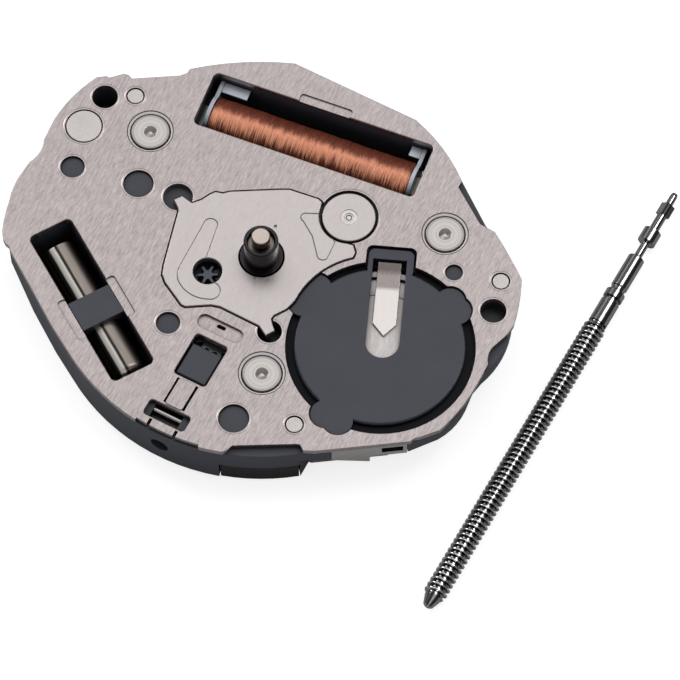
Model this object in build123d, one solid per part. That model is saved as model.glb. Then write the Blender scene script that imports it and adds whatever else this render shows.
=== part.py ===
from build123d import *
import os
from math import atan2, cos, degrees, hypot, radians, sin, sqrt

# Quartz watch movement, dial side up, with its setting stem lying beside it.
# The origin is on the hand axis, level with the dial seat. X points to three o'clock along the stem,
# Y to twelve o'clock over the cell, Z out of the dial. All lengths are in millimetres.

# Overall sizes and clearances
plate_r = 10.0              # half the length of the dial-side plate; the whole plan is given in shares of it
overrun = 0.5               # how far every cut runs past what it cuts
slip = 0.02                 # gap between pieces that are pressed or laid together
running = 0.03              # gap of every running fit
room = 0.12                 # space kept free round what moves
seam = 0.05                 # visible gap round the centre cover
edge_break = 0.03           # bevel on sheet edges and turned rims
crease = 0.03               # depth and width of lines pressed in sheet

# Heights of the stack, as depths below the dial seat; rest_depth is the bench level, under the screw heads
rest_depth = 2.65
dial_sheet = 0.094 * rest_depth
cover_proud = 0.05          # how far the centre cover stands above the plate
hour_wheel_top = 0.136 * rest_depth
plug_sunk = 0.045 * rest_depth
cap_low = 0.189 * rest_depth
work_floor = 0.302 * rest_depth     # floor of the motion work recess
rim_open_low = 0.358 * rest_depth   # underside of the thin rim beside the cell
web_floor = 0.396 * rest_depth      # underside of the web between motion work and train
coil_depth = 0.434 * rest_depth     # axis of the coil
crystal_depth = 0.415 * rest_depth  # axis of the crystal
stem_depth = 0.472 * rest_depth     # axis of the stem tunnel
bridge_top = 0.736 * rest_depth
body_low = 0.792 * rest_depth
bridge_low = 0.849 * rest_depth
rim_low = 0.898 * rest_depth
cover_low = 0.925 * rest_depth      # underside of the back cover

# Edge of the dial-side plate
four_shares = ((0.368, -0.927), (0.395, -0.907), (0.407, -0.891), (0.411, -0.872), (0.429, -0.853),
               (0.515, -0.725), (0.628, -0.561), (0.696, -0.448))
three_share, stem_flat_share = 0.825, 0.815
one_shares = ((0.784, 0.255), (0.768, 0.269), (0.743, 0.277), (0.625, 0.485), (0.620, 0.499),
              (0.636, 0.520), (0.617, 0.561), (0.416, 0.856), (0.398, 0.863), (0.382, 0.880),
              (0.322, 0.933))
twelve_shares = ((0.216, 0.959), (0.090, 0.969), (-0.005, 0.967), (-0.042, 0.950), (-0.095, 0.957),
                 (-0.148, 0.974), (-0.193, 0.979), (-0.290, 0.954), (-0.379, 0.920))
eleven_shares = ((-0.409, 0.883), (-0.427, 0.857), (-0.469, 0.801), (-0.512, 0.736), (-0.516, 0.670),
                 (-0.618, 0.524), (-0.648, 0.524))
nine_share, nine_high_share, nine_low_share = 0.800, 0.837, 0.849
eight_shares = ((-0.587, -0.634), (-0.566, -0.635), (-0.543, -0.654), (-0.444, -0.812), (-0.452, -0.830),
                (-0.449, -0.850), (-0.417, -0.881), (-0.406, -0.893), (-0.408, -0.903), (-0.386, -0.935))
six_shares = ((-0.275, -0.974), (-0.143, -0.990), (-0.050, -0.981), (0.003, -0.968), (0.060, -0.982),
              (0.100, -0.984), (0.150, -0.986))

# Edge of the plastic main plate where it differs from the steel
body_twelve_shares = ((0.322, 0.930), (0.255, 0.958), (0.170, 0.966), (0.095, 0.958), (0.040, 0.968),
                      (-0.060, 0.989), (-0.190, 0.975))
body_eleven_shares = ((-0.375, 0.915), (-0.512, 0.728), (-0.532, 0.690), (-0.665, 0.515))
body_six_shares = ((-0.370, -0.912), (0.0, -0.965), (0.372, -0.905))
body_inset = 0.03           # how far the plastic stands back from the steel edge
lip_inset = 0.70            # width of the lip round the back cover

# Edge of the centre cover, its pressed leaf and fin, and its two tabs
cover_start_share = (-0.078, -0.345)
cover_left_shares = ((-0.106, -0.320), (-0.143, -0.302), (-0.162, -0.288), (-0.170, -0.260),
                     (-0.189, -0.240), (-0.280, -0.086), (-0.304, -0.042), (-0.320, 0.075),
                     (-0.314, 0.095), (-0.286, 0.102), (-0.240, 0.150), (-0.195, 0.220),
                     (-0.208, 0.286), (-0.184, 0.308), (-0.160, 0.310))
cover_arc_shares = ((-0.040, 0.225), (0.104, 0.201))
cover_right_shares = ((0.150, 0.190), (0.197, 0.160), (0.213, 0.158), (0.230, 0.172), (0.251, 0.194),
                      (0.286, 0.172), (0.262, 0.130), (0.260, -0.038), (0.270, -0.072), (0.322, -0.155),
                      (0.322, -0.172), (0.269, -0.271), (0.244, -0.298), (0.205, -0.313), (-0.022, -0.374),
                      (-0.034, -0.384), (-0.056, -0.414), (-0.087, -0.392))
leaf_shares = ((-0.025, -0.207), (0.105, -0.182), (0.180, -0.105), (0.212, -0.064), (0.255, -0.092),
               (0.269, -0.150), (0.250, -0.217), (0.226, -0.243), (0.185, -0.257), (-0.034, -0.264),
               (-0.055, -0.242))
fin_shares = ((-0.265, 0.107), (-0.242, 0.058), (-0.226, 0.050), (-0.206, 0.069), (-0.165, 0.130),
              (-0.098, 0.187), (-0.092, 0.205), (-0.115, 0.226), (-0.185, 0.220))
dot_share, dot_r = (-0.138, -0.014), 0.06

# Hand axis
pipe_r, pipe_bore_r, pipe_top = 0.066 * plate_r, 0.054 * plate_r, 1.38
collar_r, collar_top = 0.082 * plate_r, 0.08
post_r, post_top, post_neck_r = 0.035 * plate_r, 1.78, 0.0195 * plate_r
cannon_r = 0.0505 * plate_r
cannon_top = 1.13           # how high the cannon stands inside the pipe

# Gears: teeth, tooth form and thickness
rotor_teeth = 8
inter_teeth, inter_leaves = 40, 8
third_teeth, third_leaves = 48, 10
centre_teeth = 30
cannon_teeth = 12
minute_teeth, minute_leaves = 24, 6
hour_teeth = 36
setting_teeth = 16
centre_module = 0.011 * plate_r
third_module = 0.007 * plate_r
inter_module = 0.0075 * plate_r
wheel_sheet = 0.045 * rest_depth    # thickness of every thin wheel
leaf_extra = 0.019 * rest_depth     # how far a pinion runs past the wheel it drives, each side
tip_share, foot_share, foot_width_share, tip_width_share = 0.90, 1.15, 0.56, 0.24
pivot_r = 0.009 * plate_r
arbor_r = 0.016 * plate_r
centre_arbor_r = 0.019 * plate_r
pivot_reach = 0.098 * rest_depth    # how far a pivot reaches into its bearing
hub_r = 0.0505 * plate_r    # hub left inside the arms of a wheel
arm_width = 0.022 * plate_r
arms = 4
bush_r = 0.0505 * plate_r
rotor_bush_r = 0.032 * plate_r
tube_r = 0.084 * plate_r    # the bush in the web round the centre arbor

# Places of the train and the motion work
rotor_share = (-0.307, 0.214)
minute_share = (0.150, -0.152)
third_angle = 213.0
magnet_r = 0.055 * plate_r
rotor_cap_r = 0.1055 * plate_r
rotor_hole_r = 0.114 * plate_r
star_hole_r = 0.0545 * plate_r
minute_post_r = 0.014 * plate_r

# Pillars, pins and plugs
pillar_shares = ((-0.276, -0.637), (0.428, 0.233), (-0.417, 0.571))
pillar_r, pillar_ring_r, dimple_r = 0.075 * plate_r, 0.0895 * plate_r, 0.025 * plate_r
pillar_sunk = 0.04
screw_r, screw_head_r, screw_reach = 0.028 * plate_r, 0.072 * plate_r, 0.208 * rest_depth
screw_slot, screw_slot_deep = 0.16, 0.09
pin_shares = ((-0.384, -0.763), (0.557, 0.441), (-0.337, 0.851))
pin_r, pin_low = 0.034 * plate_r, 0.340 * rest_depth
disc_share, disc_r = (-0.175, -0.874), 0.071 * plate_r
foot_shares = ((-0.325, -0.865), (-0.212, 0.883))
foot_r = 0.050 * plate_r
foot_depths = (0.604 * rest_depth, 0.280 * rest_depth)
plug_shares = (((0.0, -0.826), 0.047), ((-0.055, -0.567), 0.0585), ((-0.286, 0.677), 0.034))
ring_plug_share, ring_plug_r, ring_plug_bore = (-0.076, -0.405), 0.0575 * plate_r, 0.030 * plate_r
tab_hole_share, tab_hole_r = (0.262, 0.176), 0.047 * plate_r

# Cell and its well
cell_share = (0.115, 0.570)
well_share = (0.122, 0.576)
cell_r = 0.34 * plate_r
cell_height = 0.623 * rest_depth
cell_gap = 0.04             # between the cell and the floor above it
well_r = 0.360 * plate_r
floor_r = 0.326 * plate_r
floor_sunk, floor_low, floor_round = 0.034 * rest_depth, 0.158 * rest_depth, 0.10
moat_low = 0.121 * rest_depth
cap_r = 0.235 * plate_r
cap_step, cap_round, can_round = 0.16, 0.08, 0.15
crimp_r = 0.305 * plate_r
gasket_wall = 0.06
can_sheet = 0.18
lobe_r = 0.062 * plate_r
lobe_shares = ((252.5, 0.342), (259.0, 0.342), (266.0, 0.342), (352.0, 0.350), (361.0, 0.350),
               (144.5, 0.325), (152.5, 0.325))
slot_angle = 202.8
slot_width, slot_start, slot_stop = 0.129 * plate_r, 0.015 * plate_r, 0.365 * plate_r
slot_aside = 0.008 * plate_r
bay_long, bay_wide, bay_corner = 0.130 * plate_r, 0.192 * plate_r, 0.025 * plate_r
bay_out, bay_aside = 0.351 * plate_r, 0.012 * plate_r
bay_deep = 0.234 * rest_depth
bay_moat = 0.009 * plate_r
leaf_width, leaf_sheet, leaf_rise = 0.089 * plate_r, 0.10, 0.14
leaf_tip, leaf_shoulder, leaf_knee, leaf_root = (0.055 * plate_r, 0.105 * plate_r, 0.252 * plate_r,
                                                 0.348 * plate_r)
leaf_root_depth = floor_low + cell_gap - slip / 2 - leaf_rise - leaf_sheet
open_side_share = 0.510     # beyond this share of the length the main plate is only a rim
pillar_side_share, pillar_end_share = -0.310, 0.700
strap_angle = 20.0
strap_width = 0.15 * plate_r
strap_leaf_long, strap_leaf_wide = 0.42 * plate_r, 0.10 * plate_r

# Coil, core and stator
coil_window_share = (-0.559, -0.075)
coil_angle = 97.03
coil_window_long, coil_window_wide, window_corner = 0.906 * plate_r, 0.236 * plate_r, 0.021 * plate_r
coil_shift = 0.019 * plate_r
coil_sunk = 0.094 * rest_depth
wire_r = coil_depth - coil_sunk
wind_half = 0.412 * plate_r
flange_t, flange_r = 0.015 * plate_r, wire_r + 0.03
bobbin_wall = 0.03
core_width, core_t = 0.080 * plate_r, 0.075 * rest_depth
stator_width, stator_t = 0.080 * plate_r, 0.057 * rest_depth
stator_offset, stator_low_run, stator_high_run = 0.166 * plate_r, 0.10 * plate_r, 0.19 * plate_r
stator_bore_r = 0.066 * plate_r
stator_neck_r = 0.022 * plate_r
ear_r = 0.112 * plate_r
pad_depth, pad_t = 0.189 * rest_depth, 0.10
pad_in, pad_out = 0.090 * plate_r, 0.134 * plate_r
pad_long, pad_short = 0.122 * plate_r, 0.061 * plate_r

# Crystal
crystal_share = (0.460, -0.485)
crystal_angle = 57.0
crystal_long, crystal_wide = 0.693 * plate_r, 0.176 * plate_r
crystal_r, crystal_length, crystal_sheet = crystal_depth - 0.113 * rest_depth, 0.605 * plate_r, 0.12
crystal_gap, crystal_round = 0.08, 0.28
crystal_shift = 0.022 * plate_r
base_long, base_sunk = 0.055 * plate_r, 0.015 * plate_r
strap_start, strap_stop = -0.026 * plate_r, 0.101 * plate_r
strap_top = 0.05
lead_r, lead_aside, lead_reach = 0.009 * plate_r, 0.028 * plate_r, 0.030 * plate_r
shelf_deep, shelf_wide, shelf_corner = 0.07, 0.036 * plate_r, 0.012 * plate_r
crystal_shelf_long, crystal_shelf_mid = 0.184 * plate_r, 0.041 * plate_r
coil_shelf_long = 0.215 * plate_r

# Board and chip
board_high_share, board_side_share, board_end_share = -0.36, -0.50, 0.46
chip_share = (0.035, -0.525)
chip_long, chip_wide, chip_corner = 0.23 * plate_r, 0.18 * plate_r, 0.025 * plate_r
chip_t = 0.189 * rest_depth
cover_window_long, cover_window_wide = 0.52 * plate_r, 0.11 * plate_r
cover_slot_long, cover_slot_wide = 0.36 * plate_r, 0.09 * plate_r
cover_hole_r = 0.052 * plate_r
cover_cut_share = 0.76

# Setting work: windows, tunnel, lever, yoke and clutch
stem_y = 0.005 * plate_r
block_shares = (0.396, 0.580, -0.063, 0.072)
block_corner = 0.014 * plate_r
slot_shares = (0.715, 0.780, -0.084, 0.089)
slot_room_shares = (0.715, 0.780, -0.062, 0.056)
inner_strip_shares = (0.590, 0.708, -0.028, 0.042)
strip_gap_shares = ((0.788, 0.840, -0.049, -0.037), (0.788, 0.840, 0.060, 0.072),
                    (0.592, 0.704, -0.038, -0.028), (0.592, 0.704, 0.042, 0.051))
strip_proud = 0.05
bar_x, bar_r, bar_half = 0.733 * plate_r, 0.013 * plate_r, 0.066 * plate_r
bar_depth = 0.158 * rest_depth
oval_x, oval_wide, oval_long = 0.338 * plate_r, 0.074 * plate_r, 0.204 * plate_r
oval_deep, oval_wall = 0.045 * rest_depth, 0.08
slit_wide, slit_long = 0.014 * plate_r, 0.036 * plate_r
tunnel_r = 0.037 * plate_r
lever_pivot_share, lever_boss_r = (0.642, 0.229), 0.0585 * plate_r
yoke_pivot_share, yoke_boss_r = (0.410, -0.180), 0.046 * plate_r
lever_t, lever_top, lever_ring = 0.075 * rest_depth, 0.128 * rest_depth, 0.030 * plate_r
lever_pin_x, lever_pin_r, lever_pin_reach = 0.650 * plate_r, 0.012 * plate_r, 0.20
lever_arm, beak_arm = 0.036 * plate_r, 0.026 * plate_r
beak_share = (0.602, -0.055)
lever_swing = 0.045 * plate_r
yoke_tip_share, yoke_tail_share = (0.485, -0.086), (0.545, -0.125)
yoke_arm = 0.026 * plate_r
yoke_swing = 0.018 * plate_r
blade_wide, blade_in, blade_out, blade_reach = 0.014 * plate_r, 0.040 * plate_r, 0.010 * plate_r, 0.10
clutch_x = 0.445 * plate_r
crown_long, shoulder_long, neck_long, sleeve_long = (0.017 * plate_r, 0.011 * plate_r, 0.024 * plate_r,
                                                     0.048 * plate_r)
crown_teeth, crown_gap = 10, 0.021 * plate_r
clutch_travel = 0.025 * plate_r
roof_shares = (0.435, 0.574, -0.058, 0.068)
roof_root_share = 0.582
roof_top, roof_low, roof_bevel = 0.07, 0.219 * rest_depth, 0.05
setting_post_r, setting_hub_r = 0.020 * plate_r, 0.036 * plate_r
setting_post_top, setting_hub_top = 0.158 * rest_depth, 0.166 * rest_depth
pin_room_shares = (0.610, 0.712, -0.042, 0.052)
pin_room_low = 0.642 * rest_depth

# Side clip and spacer
clip_wall, clip_low, clip_start, clip_stop = 0.20, 0.396 * rest_depth, 0.062 * plate_r, 0.010 * plate_r
barb_long, barb_low = 0.145 * plate_r, 0.566 * rest_depth
latch_long, latch_end = 0.080 * plate_r, 0.015 * plate_r
latch_top, latch_low = 0.158 * rest_depth, 0.302 * rest_depth
spacer_r, spacer_top = 0.695 * plate_r, 0.491 * rest_depth
spacer_angles = (17.0, 38.5)
spacer_gap_angle = 0.3
spacer_proud = 0.06

# Stem, from its pilot tip: stations along it and radii, as measured on the bench
stem_tip_share = (-1.088, 1.235)
stem_angle = -1.54
thread_r, thread_pitch, thread_deep = 0.45, 0.225, 0.13
rise_share, flat_share, crest_share, fall_share = 0.10, 0.36, 0.12, 0.06
pilot_r, square_side, neck_r, shoulder_r = 0.145, 0.40, 0.19, 0.36
small_neck_r, stem_body_r, groove_r, stem_ring_r, stem_shank_r = 0.155, 0.335, 0.29, 0.39, 0.375
square_start, square_end, collar_start, collar_end = 0.55, 1.08, 1.80, 2.47
body_start, body_end, ring_start, ring_end = 3.09, 4.64, 4.90, 5.20
shank_start, thread_start, thread_end, stem_length = 5.36, 6.41, 19.45, 19.84
stem_bevel, stem_end_r = 0.06, 0.18

# Clutch wheel: its bore takes the stem's square, its rim clears the roof
clutch_gap, clutch_step, clutch_web = 0.07, 0.05, 0.05
clutch_r = stem_depth - roof_low - clutch_gap
sleeve_r = clutch_r - clutch_step
clutch_bore = square_side + 2 * slip
clutch_neck_r = clutch_bore / sqrt(2) + clutch_web
crown_bore_r = clutch_neck_r + slip


# Helpers

def at(share):
    """A point given as shares of the plate radius."""
    return (share[0] * plate_r, share[1] * plate_r)


def polar(radius, angle, centre=(0, 0)):
    """The point at this radius and angle in degrees from a centre."""
    return (centre[0] + radius * cos(radians(angle)), centre[1] + radius * sin(radians(angle)))


def outline(start, *steps):
    """A flat face: a step of one point is a line, a step of two points is an arc through the first."""
    edges = []
    here = start
    for step in steps:
        if isinstance(step[0], tuple):
            edges.append(ThreePointArc(here, step[0], step[1]))
            here = step[1]
        else:
            edges.append(Line(here, step))
            here = step
    if hypot(here[0] - start[0], here[1] - start[1]) > slip / plate_r:
        edges.append(Line(here, start))
    return make_face(Curve() + edges)


def slab(face, top, low):
    """The face made solid between two depths, both counted down from the dial seat."""
    return Pos(0, 0, -low) * extrude(face, amount=low - top, dir=(0, 0, 1))


def rod(centre, radius, top, low):
    """An upright cylinder between two depths."""
    return slab(Pos(*centre) * Circle(radius), top, low)


def tube(centre, radius, bore, top, low):
    """An upright tube between two depths."""
    return slab(Pos(*centre) * Circle(radius) - Pos(*centre) * Circle(bore), top, low)


def limits(shares):
    """A plain rectangle from the shares of its X and Y limits."""
    x0, x1, y0, y1 = [share * plate_r for share in shares]
    return Pos((x0 + x1) / 2, (y0 + y1) / 2) * Rectangle(x1 - x0, y1 - y0)


def rounded(shares, corner):
    """A rectangle with rounded corners from the shares of its X and Y limits."""
    x0, x1, y0, y1 = [share * plate_r for share in shares]
    return Pos((x0 + x1) / 2, (y0 + y1) / 2) * RectangleRounded(x1 - x0, y1 - y0, corner)


def placed(centre, angle, shape):
    """A shape drawn round the origin, turned and moved to its place in the plan."""
    return Pos(*centre) * Rot(0, 0, angle) * shape


def strip(points, width):
    """A band of one width along a bent line, with round ends."""
    face = Pos(*points[0]) * Circle(width / 2)
    for a, b in zip(points, points[1:]):
        length = hypot(b[0] - a[0], b[1] - a[1])
        angle = degrees(atan2(b[1] - a[1], b[0] - a[0]))
        middle = ((a[0] + b[0]) / 2, (a[1] + b[1]) / 2)
        face += placed(middle, angle, Rectangle(length, width))
        face += Pos(*b) * Circle(width / 2)
    return face


def gear(centre, teeth, module, phase, top, low, bore=0):
    """A spur wheel with flat-sided teeth; phase is the angle of one tooth's middle."""
    pitch = 360 / teeth
    root = module * (teeth / 2 - foot_share)
    tip = module * (teeth / 2 + tip_share)
    points = []
    for k in range(teeth):
        middle = phase + k * pitch
        points.append(polar(root, middle - foot_width_share * pitch / 2))
        points.append(polar(tip, middle - tip_width_share * pitch / 2))
        points.append(polar(tip, middle + tip_width_share * pitch / 2))
        points.append(polar(root, middle + foot_width_share * pitch / 2))
    face = make_face(Polyline(*points, close=True))
    if bore:
        face -= Circle(bore)
    return slab(Pos(*centre) * face, top, low)


def tip_radius(teeth, module):
    """The outer radius of a gear."""
    return module * (teeth / 2 + tip_share)


def partner_phase(own, own_teeth, own_phase, other, other_teeth):
    """The phase that puts the other wheel's gaps on this wheel's teeth where they meet."""
    angle = degrees(atan2(other[1] - own[1], other[0] - own[0]))
    part = (angle - own_phase) / (360 / own_teeth)
    return angle + 180 + (part + 1 / 2) * 360 / other_teeth


def with_arms(wheel, centre, teeth, module):
    """The wheel with windows cut between hub and rim."""
    outer = module * (teeth / 2 - foot_share) - arm_width
    ring = Circle(outer) - Circle(hub_r)
    for k in range(arms):
        ring -= Rot(0, 0, k * 360 / arms) * Pos(outer / 2, 0) * Rectangle(outer + arm_width, arm_width)
    return wheel - slab(Pos(*centre) * ring, 0, rest_depth)


def rim_bevelled(solid, size):
    """The solid with its highest round edge bevelled."""
    return chamfer(solid.edges().sort_by(Axis.Z)[-1], size)


# Places worked out from the shares and the gears

rotor_at, minute_at = at(rotor_share), at(minute_share)
cell_at, well_at = at(cell_share), at(well_share)
pillar_places = [at(share) for share in pillar_shares]
pin_places = [at(share) for share in pin_shares]
foot_places = [at(share) for share in foot_shares]
disc_at, tab_hole_at, ring_plug_at = at(disc_share), at(tab_hole_share), at(ring_plug_share)
lever_pivot_at, yoke_pivot_at = at(lever_pivot_share), at(yoke_pivot_share)
beak_at, yoke_tip_at, yoke_tail_at = at(beak_share), at(yoke_tip_share), at(yoke_tail_share)
window_coil_at, crystal_at, chip_at = at(coil_window_share), at(crystal_share), at(chip_share)
stem_tip_at = at(stem_tip_share)

centre_reach = centre_module * (third_leaves + centre_teeth) / 2
third_at = polar(centre_reach, third_angle)
third_reach = third_module * (inter_leaves + third_teeth) / 2
rotor_reach = inter_module * (rotor_teeth + inter_teeth) / 2


def meeting_point(a, reach_a, b, reach_b):
    """Where circles round a and b cross, on the side nearer the hand axis."""
    span = hypot(b[0] - a[0], b[1] - a[1])
    along = (reach_a ** 2 - reach_b ** 2 + span ** 2) / (2 * span)
    aside = sqrt(reach_a ** 2 - along ** 2)
    ux, uy = (b[0] - a[0]) / span, (b[1] - a[1]) / span
    first = (a[0] + along * ux + aside * uy, a[1] + along * uy - aside * ux)
    second = (a[0] + along * ux - aside * uy, a[1] + along * uy + aside * ux)
    return first if hypot(*first) < hypot(*second) else second


inter_at = meeting_point(third_at, third_reach, rotor_at, rotor_reach)
motion_reach = hypot(*minute_at)
motion_module = 2 * motion_reach / (cannon_teeth + minute_teeth)
hour_module = 2 * motion_reach / (minute_leaves + hour_teeth)
setting_reach = motion_module * (minute_teeth + setting_teeth) / 2
setting_at = (minute_at[0] + sqrt(setting_reach ** 2 - (minute_at[1] - stem_y) ** 2), stem_y)
train_places = (third_at, inter_at, rotor_at, (0, 0))

# Depths of the wheels, each written as its upper face
cannon_face = hour_wheel_top + wheel_sheet + running
minute_wheel_top = work_floor - wheel_sheet - running
centre_wheel_top = web_floor + wheel_sheet - slip
stator_top = coil_depth + core_t / 2
stator_low = stator_top + stator_t
third_wheel_top = stator_low + leaf_extra
inter_wheel_top = third_wheel_top + wheel_sheet + room
magnet_top, magnet_low = centre_wheel_top, inter_wheel_top - room

# Phases, so that every pair is in mesh at rest
setting_phase = 0
minute_phase = partner_phase(setting_at, setting_teeth, setting_phase, minute_at, minute_teeth)
cannon_phase = partner_phase(minute_at, minute_teeth, minute_phase, (0, 0), cannon_teeth)
hour_phase = partner_phase(minute_at, minute_leaves, 0, (0, 0), hour_teeth)
third_leaf_phase = partner_phase((0, 0), centre_teeth, 0, third_at, third_leaves)
inter_leaf_phase = partner_phase(third_at, third_teeth, 0, inter_at, inter_leaves)
rotor_phase = partner_phase(inter_at, inter_teeth, 0, rotor_at, rotor_teeth)

# Coil axis in the plan
coil_in = (sin(radians(coil_angle)), -cos(radians(coil_angle)))
coil_at = (window_coil_at[0] + coil_shift * coil_in[0], window_coil_at[1] + coil_shift * coil_in[1])
core_half = wind_half + 3 * flange_t


def along_coil(run, inward=0):
    """A point of the coil's own frame: along its axis, then towards the hand axis."""
    x, y = polar(run, coil_angle, coil_at)
    return (x + inward * coil_in[0], y + inward * coil_in[1])


def along_crystal(run):
    """A point on the crystal's axis, counted from the middle of its window."""
    return polar(run, crystal_angle, crystal_at)


def in_slot(run, aside=0):
    """A point of the slot's own frame: outwards from the cell's middle, then sideways."""
    x, y = polar(run, slot_angle, cell_at)
    return (x - aside * sin(radians(slot_angle - 180)), y + aside * cos(radians(slot_angle - 180)))


# Outlines

def dial_outline():
    """The edge of the dial-side plate, anticlockwise from the four o'clock corner."""
    three, flat, nine = three_share * plate_r, stem_flat_share * plate_r, nine_share * plate_r
    high, low = nine_high_share * plate_r, nine_low_share * plate_r
    one = [at(share) for share in one_shares]
    twelve = [at(share) for share in twelve_shares]
    eleven = [at(share) for share in eleven_shares]
    eight = [at(share) for share in eight_shares]
    six = [at(share) for share in six_shares]
    four = [at(share) for share in four_shares]
    return outline(
        four[-1],
        (polar(three, -20), polar(three, -6.6)),
        polar(flat, -6.6),
        (polar(flat, 2.5), polar(flat, 11.7)),
        polar(three, 11.7),
        (polar(three, 15), one[0]),
        *one[1:],
        (twelve[0], twelve[1]),
        twelve[2],
        (twelve[3], twelve[4]),
        twelve[5], twelve[6],
        (twelve[7], twelve[8]),
        *eleven,
        (polar(high, 151), (-nine, sqrt(high ** 2 - nine ** 2))),
        (-nine, -sqrt(low ** 2 - nine ** 2)),
        (polar(low, 213), eight[0]),
        *eight[1:],
        (six[0], six[1]),
        six[2],
        (six[3], six[4]),
        six[5],
        (six[6], polar(0.998 * plate_r, 284)),
        (polar(0.999 * plate_r, 288), four[0]),
        *four[1:])


def drawn_in(shares, inset):
    """Points given as shares, moved towards the hand axis by about the inset."""
    shrink = 1 - inset / plate_r
    return [(at(share)[0] * shrink, at(share)[1] * shrink) for share in shares]


def body_outline(inset):
    """The edge of the plastic main plate, set in from the steel plate's edge."""
    three, nine = three_share * plate_r - inset, nine_share * plate_r - inset
    high, low = nine_high_share * plate_r - inset, nine_low_share * plate_r - inset
    one = drawn_in(one_shares, inset)
    twelve = drawn_in(body_twelve_shares, inset)
    eleven = drawn_in(body_eleven_shares, inset)
    eight = drawn_in(eight_shares, inset)
    six = drawn_in(body_six_shares, inset)
    four = drawn_in(four_shares, inset)
    return outline(
        four[-1],
        (polar(three, 0), polar(three, 40)),
        one[6], one[7], twelve[0],
        (twelve[1], twelve[2]),
        twelve[3], twelve[4],
        (twelve[5], twelve[6]),
        *eleven,
        (polar(high, 151), (-nine, sqrt(high ** 2 - nine ** 2))),
        (-nine, -sqrt(low ** 2 - nine ** 2)),
        (polar(low, 213), polar(low, 228)),
        eight[2], eight[3], six[0],
        (six[1], six[2]),
        four[5], four[6])


def cover_outline():
    """The centre cover: straight runs, a wavy upper edge, two tabs and an arc along the well."""
    steps = [at(share) for share in cover_left_shares]
    steps.append((at(cover_arc_shares[0]), at(cover_arc_shares[1])))
    steps += [at(share) for share in cover_right_shares]
    return outline(at(cover_start_share), *steps)


def lobes(inset):
    """The round lobes of the well's edge, where pads of the floor reach out."""
    face = None
    for angle, share in lobe_shares:
        spot = Pos(*polar(share * plate_r, angle, cell_at)) * Circle(lobe_r - inset)
        face = spot if face is None else face + spot
    return face


def bay_face(inset):
    """The straight bay of the well over the root of the contact leaf."""
    middle = in_slot(bay_out, bay_aside)
    return placed(middle, slot_angle, RectangleRounded(bay_long - 2 * inset, bay_wide - 2 * inset, bay_corner))


def slot_face():
    """The slot of the well floor: straight sides, with one round end just short of the middle."""
    middle = in_slot((slot_start + slot_stop) / 2, slot_aside)
    face = placed(middle, slot_angle, Rectangle(slot_stop - slot_start, slot_width))
    return face + Pos(*in_slot(slot_start, slot_aside)) * Circle(slot_width / 2)


def train_face(grow):
    """The plan of the space that the going train turns in."""
    face = Circle(tip_radius(centre_teeth, centre_module) + grow)
    face += Pos(*third_at) * Circle(tip_radius(third_teeth, third_module) + grow)
    face += Pos(*inter_at) * Circle(tip_radius(inter_teeth, inter_module) + grow)
    return face + Pos(*rotor_at) * Circle(rotor_cap_r + grow)


def bridge_face(grow=0):
    """The plan of the train bridge."""
    return train_face(2 * room + grow) - Pos(*cell_at) * Circle(cell_r + 2 * room - grow)


def stator_face(width):
    """The plan of the stator: two ears, a band beside the coil and a ring round the rotor."""
    low_end = along_coil(stator_low_run - wind_half, stator_offset)
    high_end = along_coil(wind_half - stator_high_run, stator_offset)
    band = strip([pillar_places[0], low_end, high_end, rotor_at], width)
    band += strip([rotor_at, pillar_places[2]], width)
    return band + Pos(*rotor_at) * Circle(stator_bore_r + width / 2)


def core_face(width):
    """The plan of the coil core: a bar through the winding, bent to the pillars at both ends."""
    return strip([pillar_places[0], along_coil(-core_half), along_coil(core_half), pillar_places[2]], width)


def ears(radius):
    """Round ends about the two pillars that clamp the coil core and the stator."""
    return Pos(*pillar_places[0]) * Circle(radius) + Pos(*pillar_places[2]) * Circle(radius)


def coil_window():
    """The window over the coil."""
    return placed(window_coil_at, coil_angle, RectangleRounded(coil_window_long, coil_window_wide, window_corner))


def crystal_window():
    """The window over the crystal."""
    return placed(crystal_at, crystal_angle, RectangleRounded(crystal_long, crystal_wide, window_corner))


def coil_room():
    """The room that the coil lies in, at least as wide as its flanges."""
    return placed(coil_at, coil_angle, Rectangle(2 * (wind_half + 2 * flange_t), 2 * flange_r + slip))


def crystal_room():
    """The room that the crystal lies in, at least as wide as its can."""
    return placed(crystal_at, crystal_angle, Rectangle(crystal_long - 2 * slip, 2 * (crystal_r + crystal_gap)))


# Fixed sheet metal

def dial_plate():
    """The dial-side plate with its windows, holes, coined shelves, strips and stamped oval."""
    face = dial_outline() - coil_window() - crystal_window()
    face -= rounded(block_shares, block_corner)
    face -= rounded(slot_shares, block_corner)
    plate = slab(face, 0, dial_sheet)
    top = plate.faces().sort_by(Axis.Z)[-1]
    plate = chamfer([edge for wire in top.inner_wires() for edge in wire.edges()], edge_break)
    plate -= slab(plate_openings(), -overrun, dial_sheet + overrun)
    for place in pillar_places:
        plate -= Pos(*place, -dial_sheet / 4) * Cone(pillar_r, pillar_ring_r, dial_sheet / 2)
    plate -= coined_shelves()
    plate += slab(rounded(inner_strip_shares, window_corner / 2), -strip_proud, dial_sheet)
    return stamped_oval(plate)


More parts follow.
